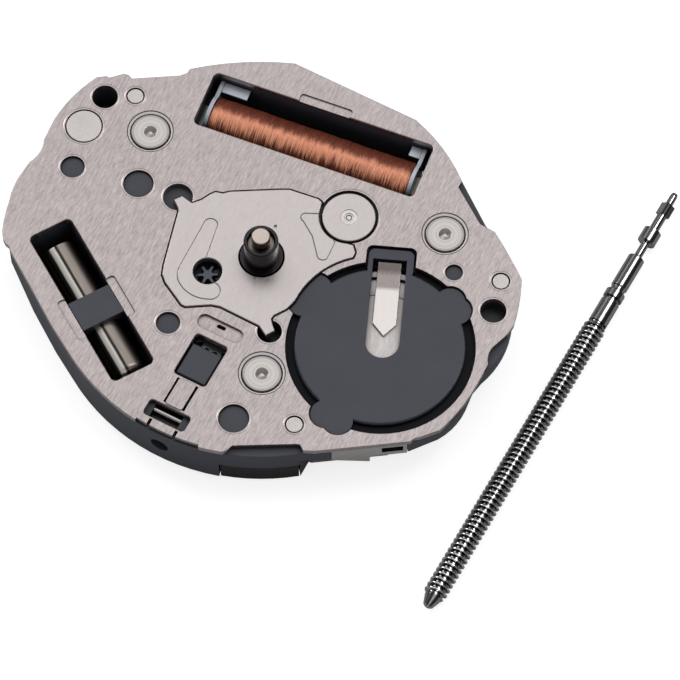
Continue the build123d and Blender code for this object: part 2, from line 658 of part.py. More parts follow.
def plate_openings():
    """All openings of the plate besides its four plain windows."""
    holes = offset(cover_outline(), amount=seam)
    holes += Pos(*well_at) * Circle(well_r) + lobes(0) + bay_face(0)
    holes += Pos(*rotor_at) * Circle(rotor_hole_r)
    for shares in strip_gap_shares:
        holes += limits(shares)
    for place in foot_places:
        holes += Pos(*place) * Circle(foot_r)
    for place in pin_places:
        holes += Pos(*place) * Circle(pin_r + slip)
    for place in pillar_places:
        holes += Pos(*place) * Circle(pillar_r + slip)
    for share, radius_share in plug_shares:
        holes += Pos(*at(share)) * Circle(radius_share * plate_r)
    for place, radius in ((lever_pivot_at, lever_boss_r), (yoke_pivot_at, yoke_boss_r),
                          (ring_plug_at, ring_plug_r), (tab_hole_at, tab_hole_r), (disc_at, disc_r + slip)):
        holes += Pos(*place) * Circle(radius)
    return holes


def coined_shelves():
    """Shallow shelves pressed into the plate beside the crystal and coil windows."""
    aside = (crystal_wide + shelf_wide) / 2 - slip
    shelves = None
    for side in (-1, 1):
        shelf = Pos(crystal_shelf_mid, side * aside) * RectangleRounded(
            crystal_shelf_long, shelf_wide, shelf_corner)
        shelf = placed(crystal_at, crystal_angle, shelf)
        shelves = shelf if shelves is None else shelves + shelf
    aside = (coil_window_wide + shelf_wide) / 2 - slip
    shelves += placed(window_coil_at, coil_angle, Pos(0, aside) * RectangleRounded(
        coil_shelf_long, shelf_wide, shelf_corner))
    return slab(shelves, -overrun, shelf_deep)


def stamped_oval(plate):
    """The oval pressed down over the setting wheel, with the small slit that shows its post."""
    corner = oval_wide / 2 - slip
    outer = Pos(oval_x, stem_y) * RectangleRounded(oval_wide, oval_long, corner)
    inner = Pos(oval_x, stem_y) * RectangleRounded(
        oval_wide - 2 * oval_wall, oval_long - 2 * oval_wall, corner - oval_wall)
    floor = dial_sheet + oval_deep / 2
    plate += slab(outer, dial_sheet, floor)
    plate -= slab(inner, -overrun, oval_deep)
    slit = Pos(*setting_at) * RectangleRounded(slit_wide, slit_long, slit_wide / 2 - slip)
    return plate - slab(slit, -overrun, floor + overrun)


def motion_cover():
    """The centre cover, with its star hole, pipe hole and a pressed leaf shape round the star."""
    face = cover_outline()
    face -= Pos(*rotor_at) * Circle(rotor_hole_r)
    face -= Circle(collar_r + 2 * slip)
    face -= Pos(*minute_at) * Circle(star_hole_r)
    cover = slab(face, -cover_proud, dial_sheet)
    cover = chamfer(cover.faces().sort_by(Axis.Z)[-1].edges(), edge_break)
    leaf = [at(share) for share in leaf_shares]
    pressed = outline(leaf[0], leaf[1], leaf[2], (leaf[3], leaf[4]), (leaf[5], leaf[6]),
                      (leaf[7], leaf[8]), leaf[9], (leaf[10], leaf[0]))
    fin = [at(share) for share in fin_shares]
    raised = outline(fin[0], fin[1], (fin[2], fin[3]), fin[4], fin[5], (fin[6], fin[7]), fin[8])
    for shape in (pressed, raised):
        line = shape - offset(shape, amount=-crease)
        cover -= slab(line, -overrun, crease - cover_proud)
    return cover - rod(at(dot_share), dot_r, -overrun, dot_r - cover_proud)


def back_cover():
    """The rear sheet: open round the cell but for one strap, with windows over coil and crystal."""
    whole = body_outline(lip_inset + 2 * slip)
    face = whole - Pos(*cell_at) * Circle(cell_r - 3 * room)
    face -= limits((-1, 1, cover_cut_share, 1))
    face += placed(cell_at, strap_angle, Rectangle(2 * cell_r, strap_width)) & whole
    for place in train_places:
        face -= Pos(*place) * Circle(cover_hole_r)
    for place in pillar_places:
        face -= Pos(*place) * Circle(screw_r + room)
    face -= placed(along_coil(0, room), coil_angle,
                   RectangleRounded(cover_window_long, cover_window_wide, window_corner))
    face -= placed(crystal_at, crystal_angle,
                   RectangleRounded(cover_slot_long, cover_slot_wide, window_corner))
    return slab(face, bridge_low, cover_low)


def cover_screws():
    """Three slotted screws that hold the cover, the board and the bridge to the pillars."""
    group = []
    for place in pillar_places:
        head = rod(place, screw_head_r, cover_low, rest_depth)
        cut = placed(place, coil_angle, Rectangle(3 * screw_head_r, screw_slot))
        head -= slab(cut, rest_depth - screw_slot_deep, rest_depth + overrun)
        group.append(head + rod(place, screw_r, body_low - screw_reach, cover_low))
    return group


def screw_pillars():
    """Three screw pillars with a dimple at the dial end and a bore at the back."""
    group = []
    for place in pillar_places:
        post = rim_bevelled(rod(place, pillar_r, pillar_sunk, body_low), edge_break)
        post -= Pos(*place, -pillar_sunk - dimple_r / 4) * Cone(dimple_r / 4, dimple_r, dimple_r / 2)
        post -= rod(place, screw_r + slip, body_low - screw_reach - slip, body_low + overrun)
        group.append(post)
    return group


def clip_frame():
    """The place of the side clip: its X runs along the flank, its Y points into the movement."""
    a, b = at(one_shares[6]), at(one_shares[7])
    return Pos(*a, 0) * Rot(0, 0, degrees(atan2(b[1] - a[1], b[0] - a[0]))), hypot(b[0] - a[0], b[1] - a[1])


def flank_band(start, stop, low_y, high_y):
    """A rectangle in the frame of the side clip."""
    return Pos((start + stop) / 2, (low_y + high_y) / 2) * Rectangle(stop - start, high_y - low_y)


def side_clip():
    """The sprung wall beside the cell, with a barb and a small latch window."""
    frame, length = clip_frame()
    start, stop = clip_start, length - clip_stop
    body = slab(flank_band(start, stop, slip, clip_wall), dial_sheet, clip_low)
    side = make_face(Polyline((start, -clip_low), (start + barb_long, -barb_low),
                              (start + barb_long, -clip_low), close=True))
    body += Pos(0, clip_wall, 0) * extrude(Rot(90, 0, 0) * side, amount=clip_wall - slip, dir=(0, -1, 0))
    window = flank_band(stop - latch_end - latch_long, stop - latch_end, -clip_wall, 2 * clip_wall)
    return frame * (body - slab(window, latch_top, latch_low))


# Plastic main plate

def main_plate():
    """The moulded plate that carries everything, hollowed from both sides."""
    body = slab(body_outline(body_inset), dial_sheet, body_low)
    body += slab(body_outline(body_inset) - body_outline(lip_inset), body_low, rim_low)
    body -= open_side()
    body -= cell_space()
    body -= motion_space()
    body -= setting_space()
    body -= slab(train_face(room), web_floor, rest_depth)
    body -= slab(bridge_face(slip), bridge_top, rest_depth)
    body -= slab(stator_face(stator_width + room) + core_face(core_width + room) + ears(ear_r + room / 2),
                 coil_depth - core_t / 2, rest_depth)
    body -= slab(coil_window(), 0, rest_depth) + slab(coil_room(), dial_sheet, rest_depth)
    body -= slab(crystal_window(), 0, rest_depth) + slab(crystal_room(), dial_sheet, rest_depth)
    body -= slab(placed(chip_at, 0, RectangleRounded(chip_long + 4 * room, chip_wide + 4 * room, chip_corner)),
                 body_low - chip_t - room, rest_depth)
    body -= fixed_holes()
    body -= spacer_space()
    body += crystal_strap()
    body += plugs()
    body += clutch_roof()
    body += well_floor()
    return body - bearing_holes()


def open_side():
    """What is cut away beside the cell, leaving only a rim, but not round the pillar there."""
    area = limits((-1, 1, open_side_share, 1))
    area -= limits((-1, pillar_side_share, open_side_share, pillar_end_share))
    frame, length = clip_frame()
    band = flank_band(clip_start - slip, length - clip_stop + slip, -overrun, clip_wall + slip)
    return slab(area, rim_open_low, rest_depth) + frame * slab(band, 0, rest_depth)


def cell_space():
    """The bore that the cell drops into from the back, with the moat, the slot and the bay."""
    space = rod(cell_at, cell_r + room, floor_low, rest_depth)
    space += rod(well_at, well_r, 0, moat_low)
    space += slab(slot_face(), 0, bay_deep)
    return space + slab(bay_face(slip), 0, bay_deep)


def well_floor():
    """The raised round floor of the well, with its pads, cut by the slot."""
    disc = fillet(rod(cell_at, floor_r, floor_sunk, floor_low).edges().sort_by(Axis.Z)[-1], floor_round)
    pads = slab(lobes(seam), floor_sunk, moat_low)
    under_cover = slab(offset(cover_outline(), amount=seam), 0, dial_sheet + slip)
    ledge = slab(bay_face(bay_moat), floor_sunk, bay_deep) - rod(cell_at, cell_r + room, floor_low, rest_depth)
    return disc + (pads - under_cover) + ledge - slab(slot_face(), 0, rest_depth)


def motion_space():
    """The recess under the centre cover for the hour wheel, the minute wheel and the cannon pinion."""
    space = rod((0, 0), tip_radius(hour_teeth, hour_module) + room, 0, work_floor)
    space += rod(minute_at, tip_radius(minute_teeth, motion_module) + room, 0, work_floor)
    space += rod(setting_at, tip_radius(setting_teeth, motion_module) + room, 0, work_floor)
    return space + rod(tab_hole_at, tab_hole_r, 0, work_floor)


def setting_space():
    """The stem tunnel with the rooms for the clutch, lever, yoke and cross bar above it."""
    bore = lying_x(setting_at[0], plate_r, tunnel_r, stem_depth)
    start = clutch_x - clutch_travel - room
    stop = roof_shares[1] * plate_r + room
    clutch_room = Pos((start + stop) / 2, stem_y) * Rectangle(stop - start, 2 * (clutch_r + room))
    bore += slab(clutch_room, roof_low, bridge_top)
    ledge = Pos((block_shares[0] + roof_shares[0]) / 2 * plate_r, stem_y)
    bore += slab(ledge * Rectangle((roof_shares[0] - block_shares[0]) * plate_r, 2 * clutch_r), 0, work_floor)
    blade_room = (yoke_tip_at[0] - blade_wide - clutch_travel, yoke_tip_at[1] + blade_in)
    bore += slab(strip([blade_room, (yoke_tip_at[0], yoke_tip_at[1])], 3 * blade_wide + room), 0, bridge_top)
    bore += slab(limits(pin_room_shares), 0, pin_room_low)
    bore += slab(limits(slot_room_shares), 0, roof_low)
    bore += slab(rounded(block_shares, block_corner), 0, roof_low)
    return bore + slab(lever_room() + yoke_room(), 0, lever_top + lever_t + room / 2)


def lying_x(start, length, radius, depth):
    """A cylinder lying along the stem axis from a start."""
    return Pos(start, stem_y, -depth) * Rot(0, 90, 0) * Cylinder(
        radius, length, align=(Align.CENTER, Align.CENTER, Align.MIN))


def lever_room():
    """The plan of the space that the setting lever swings in."""
    middle = lever_pin_x + lever_swing / 2
    face = strip([lever_pivot_at, (middle, stem_y)], lever_arm + lever_swing + room)
    face += strip([(middle, stem_y), (beak_at[0] + lever_swing / 2, beak_at[1])],
                  beak_arm + lever_swing + room)
    return face + Pos(*lever_pivot_at) * Circle(lever_boss_r + lever_ring + room)


def yoke_room():
    """The plan of the space that the yoke swings in."""
    face = strip([yoke_pivot_at, yoke_tip_at], yoke_arm + 2 * yoke_swing + room)
    face += strip([yoke_pivot_at, (yoke_tail_at[0], yoke_tail_at[1] + yoke_swing)],
                  yoke_arm + 2 * yoke_swing + room)
    return face + Pos(*yoke_pivot_at) * Circle(yoke_boss_r + lever_ring + room)


def clutch_roof():
    """The bevelled block over the clutch that fills the window beside the stamped oval."""
    block = slab(limits(roof_shares), roof_top, roof_low)
    block = chamfer(block.edges().group_by(Axis.Z)[-1], roof_bevel)
    root = (roof_shares[1] - slip / plate_r, roof_root_share, stem_y / plate_r, roof_shares[3])
    return block + slab(limits(root), dial_sheet, roof_low)


def fixed_holes():
    """Holes for the pillars, pins, disc, dial feet, rotor cap and cross bar."""
    holes = rod(rotor_at, rotor_cap_r, 0, cap_low) + rod(rotor_at, hub_r, 0, web_floor + overrun)
    for place in pillar_places:
        holes += rod(place, pillar_r, 0, rest_depth)
    for place in pin_places:
        holes += rod(place, pin_r, 0, pin_low)
    for place, depth in zip(foot_places, foot_depths):
        holes += rod(place, foot_r, 0, depth)
    holes += rod(disc_at, disc_r, 0, pin_low)
    return holes + cross_rod(bar_r, bar_half)


def plugs():
    """The round ends of the moulding that show through holes of the steel plate."""
    low = rim_open_low
    body = rod(setting_at, setting_post_r, setting_post_top, work_floor)
    body += tube(ring_plug_at, ring_plug_r - slip, ring_plug_bore, dial_sheet + slip, work_floor)
    for place, radius in ((lever_pivot_at, lever_boss_r), (yoke_pivot_at, yoke_boss_r)):
        body += rod(place, radius - slip, plug_sunk, low)
    for share, radius_share in plug_shares:
        body += rod(at(share), radius_share * plate_r - slip, plug_sunk, dial_sheet + slip)
    return body


def spacer_wedge(turn):
    """The sector of the plan that the dark spacer takes up."""
    a, b = spacer_angles
    return make_face(Polyline((0, 0), polar(2 * plate_r, a + turn), polar(2 * plate_r, b - turn), close=True))


def spacer_space():
    """The step under the rim by one o'clock that the dark spacer fills."""
    return slab((Circle(plate_r) - Circle(spacer_r)) & spacer_wedge(0), spacer_top, rest_depth)


def lower_spacer():
    """The darker plastic piece that fills the step under the rim."""
    ring = body_outline(body_inset + 3 * slip) - Circle(spacer_r + slip)
    piece = slab(ring & spacer_wedge(spacer_gap_angle), spacer_top + slip, rim_low + spacer_proud)
    return piece - slab(body_outline(lip_inset), body_low, rest_depth)


def crystal_strap():
    """The strap of the main plate that bridges the crystal window."""
    run = strap_stop - strap_start
    middle = along_crystal((strap_stop + strap_start) / 2)
    strap = slab(placed(middle, crystal_angle, Rectangle(run, crystal_wide - 2 * slip)), strap_top, dial_sheet)
    width = max(crystal_wide, 2 * (crystal_r + crystal_gap)) + room
    strap += slab(placed(middle, crystal_angle, Rectangle(run, width)), dial_sheet, crystal_depth)
    hollow = Pos(*along_crystal(0), -crystal_depth) * Rot(0, 0, crystal_angle)
    return strap - hollow * lying(crystal_r + slip, crystal_long)


def bearing_holes():
    """Blind pivot holes in the web, and the hole for the centre tube."""
    holes = rod((0, 0), tube_r, 0, web_floor + overrun)
    for place in (third_at, inter_at):
        holes += rod(place, pivot_r + running, web_floor - pivot_reach, web_floor + overrun)
    return holes


def train_bridge():
    """The bridge under the going train, with a hole for each bush."""
    plate = slab(bridge_face(), bridge_top, bridge_low)
    for place in train_places:
        plate -= rod(place, bush_r, bridge_top - overrun, bridge_low + overrun)
    return plate


def bridge_bushes():
    """Four bearing bushes pressed in the bridge."""
    return [tube(place, bush_r, pivot_r + running, bridge_top, bridge_low) for place in train_places]


# Electric parts

def coil_frame():
    """The place of the coil: its X runs along the winding, its Y points outwards."""
    return Pos(*coil_at, -coil_depth) * Rot(0, 0, coil_angle)


def lying(radius, length):
    """A cylinder lying along X, centred on the origin."""
    return Rot(0, 90, 0) * Cylinder(radius, length)


def coil_winding():
    """The wound wire as one closed body round the bobbin tube."""
    gap = 4 * slip + 2 * bobbin_wall
    body = lying(wire_r, 2 * wind_half) - Box(4 * wind_half, core_width + gap, core_t + gap)
    return coil_frame() * body


def coil_bobbin():
    """The bobbin: a thin tube on the core, two round flanges and two pads at the outer side."""
    inner = 2 * slip
    gap = inner + 2 * bobbin_wall
    body = Box(2 * wind_half, core_width + gap, core_t + gap)
    for side in (-1, 1):
        body += Pos(side * (wind_half + flange_t / 2), 0, 0) * lying(flange_r, flange_t)
    body -= Box(4 * wind_half, core_width + inner, core_t + inner)
    rise = coil_depth - pad_depth - pad_t / 2
    for side, long in ((-1, pad_long), (1, pad_short)):
        end = side * (wind_half + flange_t)
        body += Pos(end - side * long / 2, (pad_in + pad_out) / 2, rise) * Box(long, pad_out - pad_in, pad_t)
        body += Pos(end - side * flange_t / 2, pad_out / 2 + flange_t, rise) * Box(
            flange_t, pad_out - 2 * flange_t, 2 * pad_t)
    return coil_frame() * body


def coil_core():
    """The flat iron core, clamped at the two pillars."""
    face = core_face(core_width) + ears(ear_r)
    for place in (pillar_places[0], pillar_places[2]):
        face -= Pos(*place) * Circle(pillar_r + slip)
    return slab(face, coil_depth - core_t / 2, coil_depth + core_t / 2)


def stator():
    """The stator sheet with the rotor's bore and its two narrow necks."""
    face = stator_face(stator_width) + ears(ear_r)
    for place in (pillar_places[0], pillar_places[2]):
        face -= Pos(*place) * Circle(pillar_r + slip)
    face -= Pos(*rotor_at) * Circle(stator_bore_r)
    for turn in (0, 180):
        neck = polar(stator_bore_r + stator_width / 2, coil_angle - 90 + turn, rotor_at)
        face -= Pos(*neck) * Circle(stator_neck_r)
    return slab(face, stator_top, stator_low)


def crystal_frame():
    """The place of the crystal: its X runs along the can to the closed end."""
    return Pos(*along_crystal(crystal_shift), -crystal_depth) * Rot(0, 0, crystal_angle)


def crystal_can():
    """The drawn can of the crystal, round at its closed end."""
    can = fillet(lying(crystal_r, crystal_length).edges().sort_by(Axis.X)[-1], crystal_round)
    can -= Pos(-crystal_sheet, 0, 0) * lying(crystal_r - crystal_sheet, crystal_length)
    return crystal_frame() * can


def crystal_base():
    """The glass base that closes the can."""
    middle = base_sunk + base_long / 2 - crystal_length / 2
    return crystal_frame() * Pos(middle, 0, 0) * lying(crystal_r - crystal_sheet - slip, base_long)


def crystal_leads():
    """Two wires from the base, bent down to the board."""
    group = []
    start = base_sunk - crystal_length / 2 - slip / 2
    for side in (-lead_aside, lead_aside):
        path = FilletPolyline((start, side, 0), (start - lead_reach - base_sunk, side, 0),
                              (start - lead_reach - base_sunk, side, crystal_depth - body_low),
                              radius=2 * lead_r)
        wire = sweep(Plane(origin=(start, side, 0), z_dir=(-1, 0, 0)) * Circle(lead_r), path)
        group.append(crystal_frame() * wire)
    return group


def circuit_board():
    """The board under the six o'clock half and the coil."""
    whole = body_outline(lip_inset + 2 * slip)
    face = whole & limits((-1, 1, -1, board_high_share))
    face += whole & limits((-1, board_side_share, -1, board_end_share))
    for place in pillar_places:
        face -= Pos(*place) * Circle(screw_r + room)
    return slab(face - bridge_face(2 * slip), body_low, bridge_low)


def circuit_chip():
    """The moulded chip on the board, in its pocket."""
    chip = slab(placed(chip_at, 0, RectangleRounded(chip_long, chip_wide, chip_corner)),
                body_low - chip_t, body_low)
    return chamfer(chip.edges().group_by(Axis.Z)[-1], edge_break)


def contact_leaf():
    """The pointed negative contact, rooted in the bay and sloping down to the cell."""
    low = leaf_root_depth + leaf_sheet + leaf_rise
    half = leaf_width / 2
    flat = make_face(Polyline((leaf_tip, 0), (leaf_shoulder, half), (leaf_knee, half),
                              (leaf_knee, -half), (leaf_shoulder, -half), close=True))
    leaf = slab(flat, low - leaf_sheet, low)
    side = make_face(Polyline((leaf_knee, -low), (leaf_root, leaf_rise - low),
                              (leaf_root, leaf_rise + leaf_sheet - low), (leaf_knee, leaf_sheet - low),
                              close=True))
    leaf += Pos(0, half, 0) * extrude(Rot(90, 0, 0) * side, amount=leaf_width, dir=(0, -1, 0))
    foot = Pos(leaf_root + leaf_sheet / 2, 0) * Rectangle(leaf_sheet, leaf_width)
    leaf += slab(foot, leaf_root_depth, bay_deep - slip / 2)
    return placed(in_slot(0, slot_aside), slot_angle, leaf)


def cell_parts():
    """The cell: cap towards the dial, gasket, and the drawn can."""
    top = floor_low + cell_gap
    low = top + cell_height
    inner = low - can_sheet
    cap = rod(cell_at, cap_r, top, top + 2 * cap_step)
    cap = fillet(cap.edges().sort_by(Axis.Z)[-1], cap_round)
    cap += rod(cell_at, crimp_r, top + cap_step, inner - gasket_wall)
    can = rod(cell_at, cell_r, top + cap_step / 2, low)
    can = fillet(can.edges().sort_by(Axis.Z)[-1], cap_round)
    can = fillet(can.edges().sort_by(Axis.Z)[0], can_round)
    can -= rod(cell_at, crimp_r + gasket_wall, top - overrun, inner)
    gasket = tube(cell_at, crimp_r + gasket_wall, crimp_r, top + cap_step / 2, inner)
    gasket += rod(cell_at, crimp_r, inner - gasket_wall, inner)
    return cap, gasket, can


def positive_contact():
    """The leaf of the rear strap that presses on the can."""
    top = floor_low + cell_gap + cell_height + slip / 2
    face = placed(cell_at, strap_angle, RectangleRounded(strap_leaf_long, strap_leaf_wide, bay_corner))
    return slab(face, top, bridge_low)


# Turning parts

def hour_wheel():
    """The hour wheel with its collar and long pipe."""
    low = hour_wheel_top + wheel_sheet
    wheel = gear((0, 0), hour_teeth, hour_module, hour_phase, hour_wheel_top, low)
    wheel += rod((0, 0), collar_r, -collar_top, low)
    wheel += rim_bevelled(rod((0, 0), pipe_r, -pipe_top, low), edge_break)
    return wheel - rod((0, 0), pipe_bore_r, -pipe_top - overrun, low + overrun)


def minute_arbor():
    """The steel arbor in one turning: minute post on its neck, cannon, pinion and lower pivot."""
    low = work_floor - running
    wheel_low = centre_wheel_top + wheel_sheet
    arbor = rim_bevelled(rod((0, 0), post_r, -post_top, -pipe_top - slip), edge_break)
    arbor += rod((0, 0), post_neck_r, -pipe_top - slip, cannon_face)
    arbor += rod((0, 0), cannon_r, -cannon_top, cannon_face)
    arbor += gear((0, 0), cannon_teeth, motion_module, cannon_phase, cannon_face, low)
    arbor += rod((0, 0), centre_arbor_r, low, wheel_low)
    arbor += rod((0, 0), arbor_r, wheel_low, bridge_top - running)
    return arbor + rod((0, 0), pivot_r, bridge_top - running, bridge_top + pivot_reach)


def centre_wheel():
    """The centre wheel, riveted to the arbor."""
    wheel = gear((0, 0), centre_teeth, centre_module, 0, centre_wheel_top,
                 centre_wheel_top + wheel_sheet, centre_arbor_r)
    return with_arms(wheel, (0, 0), centre_teeth, centre_module)


def centre_tube():
    """The tube in the web that guides the centre arbor."""
    return tube((0, 0), tube_r, centre_arbor_r + running, work_floor, centre_wheel_top - running)


def minute_wheel():
    """The minute wheel with its six-leaf pinion, on a short post of its own."""
    wheel = gear(minute_at, minute_teeth, motion_module, minute_phase, minute_wheel_top,
                 minute_wheel_top + wheel_sheet)
    wheel += gear(minute_at, minute_leaves, hour_module, 0, dial_sheet + slip, minute_wheel_top)
    return wheel + rod(minute_at, minute_post_r, minute_wheel_top, work_floor + room)


def third_pair():
    """The third wheel and its arbor with pinion and pivots."""
    wheel = gear(third_at, third_teeth, third_module, 0, third_wheel_top,
                 third_wheel_top + wheel_sheet, arbor_r)
    arbor = gear(third_at, third_leaves, centre_module, third_leaf_phase,
                 centre_wheel_top - leaf_extra, centre_wheel_top + wheel_sheet + leaf_extra)
    arbor += rod(third_at, arbor_r, web_floor + running, bridge_top - running)
    arbor += rod(third_at, pivot_r, web_floor + slip - pivot_reach, bridge_top + pivot_reach)
    return with_arms(wheel, third_at, third_teeth, third_module), arbor


def inter_pair():
    """The intermediate wheel and its arbor with pinion and pivots."""
    wheel = gear(inter_at, inter_teeth, inter_module, 0, inter_wheel_top,
                 inter_wheel_top + wheel_sheet, arbor_r)
    arbor = gear(inter_at, inter_leaves, third_module, inter_leaf_phase,
                 third_wheel_top - leaf_extra, third_wheel_top + wheel_sheet + leaf_extra)
    arbor += rod(inter_at, arbor_r, web_floor + running, bridge_top - running)
    arbor += rod(inter_at, pivot_r, web_floor + slip - pivot_reach, bridge_top + pivot_reach)
    return with_arms(wheel, inter_at, inter_teeth, inter_module), arbor


def rotor_pair():
    """The rotor's magnet and its arbor with the first pinion."""
    magnet = tube(rotor_at, magnet_r, arbor_r, magnet_top, magnet_low)
    arbor = gear(rotor_at, rotor_teeth, inter_module, rotor_phase,
                 inter_wheel_top - leaf_extra, inter_wheel_top + wheel_sheet + leaf_extra)
    arbor += rod(rotor_at, arbor_r, cap_low + leaf_extra, bridge_top - running)
    arbor += rod(rotor_at, pivot_r, 2 * running, bridge_top + pivot_reach)
    return magnet, arbor


def rotor_cap():
    """The round cap over the rotor, bored for its bush."""
    cap = rim_bevelled(rod(rotor_at, rotor_cap_r - slip, 0, cap_low), edge_break)
    return cap - rod(rotor_at, rotor_bush_r, -overrun, cap_low + overrun)


def rotor_bush():
    """The bearing bush in the rotor cap, with a stepped oil sink."""
    bush = tube(rotor_at, rotor_bush_r, pivot_r + running, slip, cap_low)
    return bush - rod(rotor_at, arbor_r + slip, -overrun, leaf_extra)


def setting_wheel():
    """The setting wheel on its post under the stamped oval."""
    wheel = gear(setting_at, setting_teeth, motion_module, setting_phase, minute_wheel_top,
                 minute_wheel_top + wheel_sheet)
    wheel += rod(setting_at, setting_hub_r, setting_hub_top, minute_wheel_top)
    return wheel - rod(setting_at, setting_post_r + running, 0, rest_depth)


def setting_lever():
    """The lever that drops a pin in the stem's neck."""
    low = lever_top + lever_t
    face = Pos(*lever_pivot_at) * Circle(lever_boss_r + lever_ring)
    face += strip([lever_pivot_at, (lever_pin_x, stem_y)], lever_arm)
    face += strip([(lever_pin_x, stem_y), beak_at], beak_arm)
    face -= Pos(*lever_pivot_at) * Circle(lever_boss_r - slip + running)
    return slab(face, lever_top, low) + rod((lever_pin_x, stem_y), lever_pin_r, low, stem_depth + lever_pin_reach)


def yoke():
    """The yoke whose blade stands in the clutch's groove."""
    low = lever_top + lever_t
    face = Pos(*yoke_pivot_at) * Circle(yoke_boss_r + lever_ring)
    face += strip([yoke_pivot_at, yoke_tip_at], yoke_arm)
    face += strip([yoke_pivot_at, yoke_tail_at], yoke_arm)
    face -= Pos(*yoke_pivot_at) * Circle(yoke_boss_r - slip + running)
    x, y = yoke_tip_at
    shank = Pos(x, y) * Rectangle(blade_wide, 2 * blade_out)
    blade = Pos(x, y + (blade_in - blade_out) / 2) * Rectangle(blade_wide, blade_in + blade_out)
    body = slab(face, lever_top, low) + slab(shank, low, roof_low + room)
    return body + slab(blade, roof_low + room / 2, stem_depth + blade_reach)


def clutch_wheel():
    """The clutch: crown teeth towards the setting wheel, a groove for the yoke, a square bore."""
    upright = (Align.CENTER, Align.CENTER, Align.MIN)
    body = Cylinder(clutch_r, crown_long, align=upright)
    body -= Cylinder(crown_bore_r, crown_long, align=upright)
    for k in range(crown_teeth):
        turn = Rot(0, 0, 180 + k * 360 / crown_teeth)
        body -= turn * Pos(clutch_r, 0, crown_long / 2) * Box(clutch_r, crown_gap, crown_long)
    z = crown_long
    for radius, length in ((clutch_r, shoulder_long), (clutch_neck_r, neck_long), (sleeve_r, sleeve_long)):
        body += Pos(0, 0, z) * Cylinder(radius, length, align=upright)
        z += length
    body -= Box(clutch_bore, clutch_bore, 4 * z)
    return Pos(clutch_x, stem_y, -stem_depth) * Rot(0, 90, 0) * body


# Small fixed pieces

def guide_pins():
    """Three small steel pins, flush with the dial plate."""
    return [rim_bevelled(rod(place, pin_r - slip / 2, slip, pin_low), edge_break) for place in pin_places]


def flush_disc():
    """The plain disc by the foot hole."""
    return rim_bevelled(rod(disc_at, disc_r - slip / 2, 0, pin_low), edge_break)


def cross_rod(radius, half):
    """A rod across the stem tunnel."""
    return Pos(bar_x, stem_y - slip, -bar_depth) * Rot(90, 0, 0) * Cylinder(radius, 2 * half)


def cross_bar():
    """The bar across the mouth of the stem tunnel."""
    return cross_rod(bar_r - slip / 2, bar_half - slip / 2)


# The loose stem

def stem():
    """The stem: pilot, square, collar, necks, body, ring, shank and the grooves of its long thread."""
    core = thread_r - thread_deep
    profile = [(0, 0), (stem_bevel, pilot_r - stem_bevel / 2), (2 * stem_bevel, pilot_r),
               (square_start, pilot_r), (square_start, neck_r), (collar_start, neck_r),
               (collar_start + stem_bevel, shoulder_r), (collar_end - stem_bevel, shoulder_r),
               (collar_end, small_neck_r), (body_start, small_neck_r),
               (body_start + 2 * stem_bevel, stem_body_r), (body_end, stem_body_r),
               (body_end + stem_bevel, groove_r), (ring_start - stem_bevel, groove_r),
               (ring_start, stem_ring_r), (ring_end, stem_ring_r), (ring_end, groove_r),
               (shank_start, groove_r), (shank_start, stem_shank_r),
               (thread_start, stem_shank_r), (thread_start, core)]
    x = thread_start
    for _ in range(int((thread_end - thread_start) / thread_pitch)):
        rise = x + thread_pitch * rise_share
        crest = rise + thread_pitch * flat_share
        profile.append((rise, core))
        profile.append((crest, thread_r))
        profile.append((crest + thread_pitch * crest_share, thread_r))
        x += thread_pitch
        profile.append((x - thread_pitch * fall_share, core))
    profile += [(x + thread_pitch / 2, core), (stem_length, stem_end_r), (stem_length, 0)]
    shape = revolve(make_face(Polyline(*profile, close=True)), axis=Axis.X)
    block = Box(square_end - square_start, square_side, square_side)
    shape += Pos((square_start + square_end) / 2, 0, 0) * Rot(45, 0, 0) * block
    return Pos(*stem_tip_at, thread_r - rest_depth) * Rot(0, 0, stem_angle) * shape


# Everything, each node under its own name

def build():
    """All sub-parts by name; a list is a group of like solids."""
    cap, gasket, can = cell_parts()
    third, third_arbor = third_pair()
    inter, inter_arbor = inter_pair()
    magnet, rotor_arbor = rotor_pair()
    return {
        "dial_plate": dial_plate(),
        "motion_cover": motion_cover(),
        "main_plate": main_plate(),
        "back_cover": back_cover(),
        "cover_screws": cover_screws(),
        "screw_pillars": screw_pillars(),
        "guide_pins": guide_pins(),
        "flush_disc": flush_disc(),
        "side_clip": side_clip(),
        "lower_spacer": lower_spacer(),
        "cross_bar": cross_bar(),
        "train_bridge": train_bridge(),
        "bridge_bushes": bridge_bushes(),
        "centre_tube": centre_tube(),
        "rotor_cap": rotor_cap(),
        "rotor_bush": rotor_bush(),
        "coil_winding": coil_winding(),
        "coil_bobbin": coil_bobbin(),
        "coil_core": coil_core(),
        "stator": stator(),
        "crystal_can": crystal_can(),
        "crystal_base": crystal_base(),
        "crystal_leads": crystal_leads(),
        "circuit_board": circuit_board(),
        "circuit_chip": circuit_chip(),
        "contact_leaf": contact_leaf(),
        "positive_contact": positive_contact(),
        "cell_cap": cap,
        "cell_gasket": gasket,
        "cell_can": can,
        "hour_wheel": hour_wheel(),
        "minute_arbor": minute_arbor(),
        "centre_wheel": centre_wheel(),
        "minute_wheel": minute_wheel(),
        "third_wheel": third,
        "third_arbor": third_arbor,
        "intermediate_wheel": inter,
        "intermediate_arbor": inter_arbor,
        "rotor_magnet": magnet,
        "rotor_arbor": rotor_arbor,
        "setting_wheel": setting_wheel(),
        "setting_lever": setting_lever(),
        "yoke": yoke(),
        "clutch_wheel": clutch_wheel(),
        "stem": stem(),
    }


os.makedirs("parts", exist_ok=True)
for name, shape in build().items():
    solids = shape if isinstance(shape, list) else [shape]
    export_step(Compound(children=[s for part in solids for s in part.solids()]), f"parts/{name}.step")
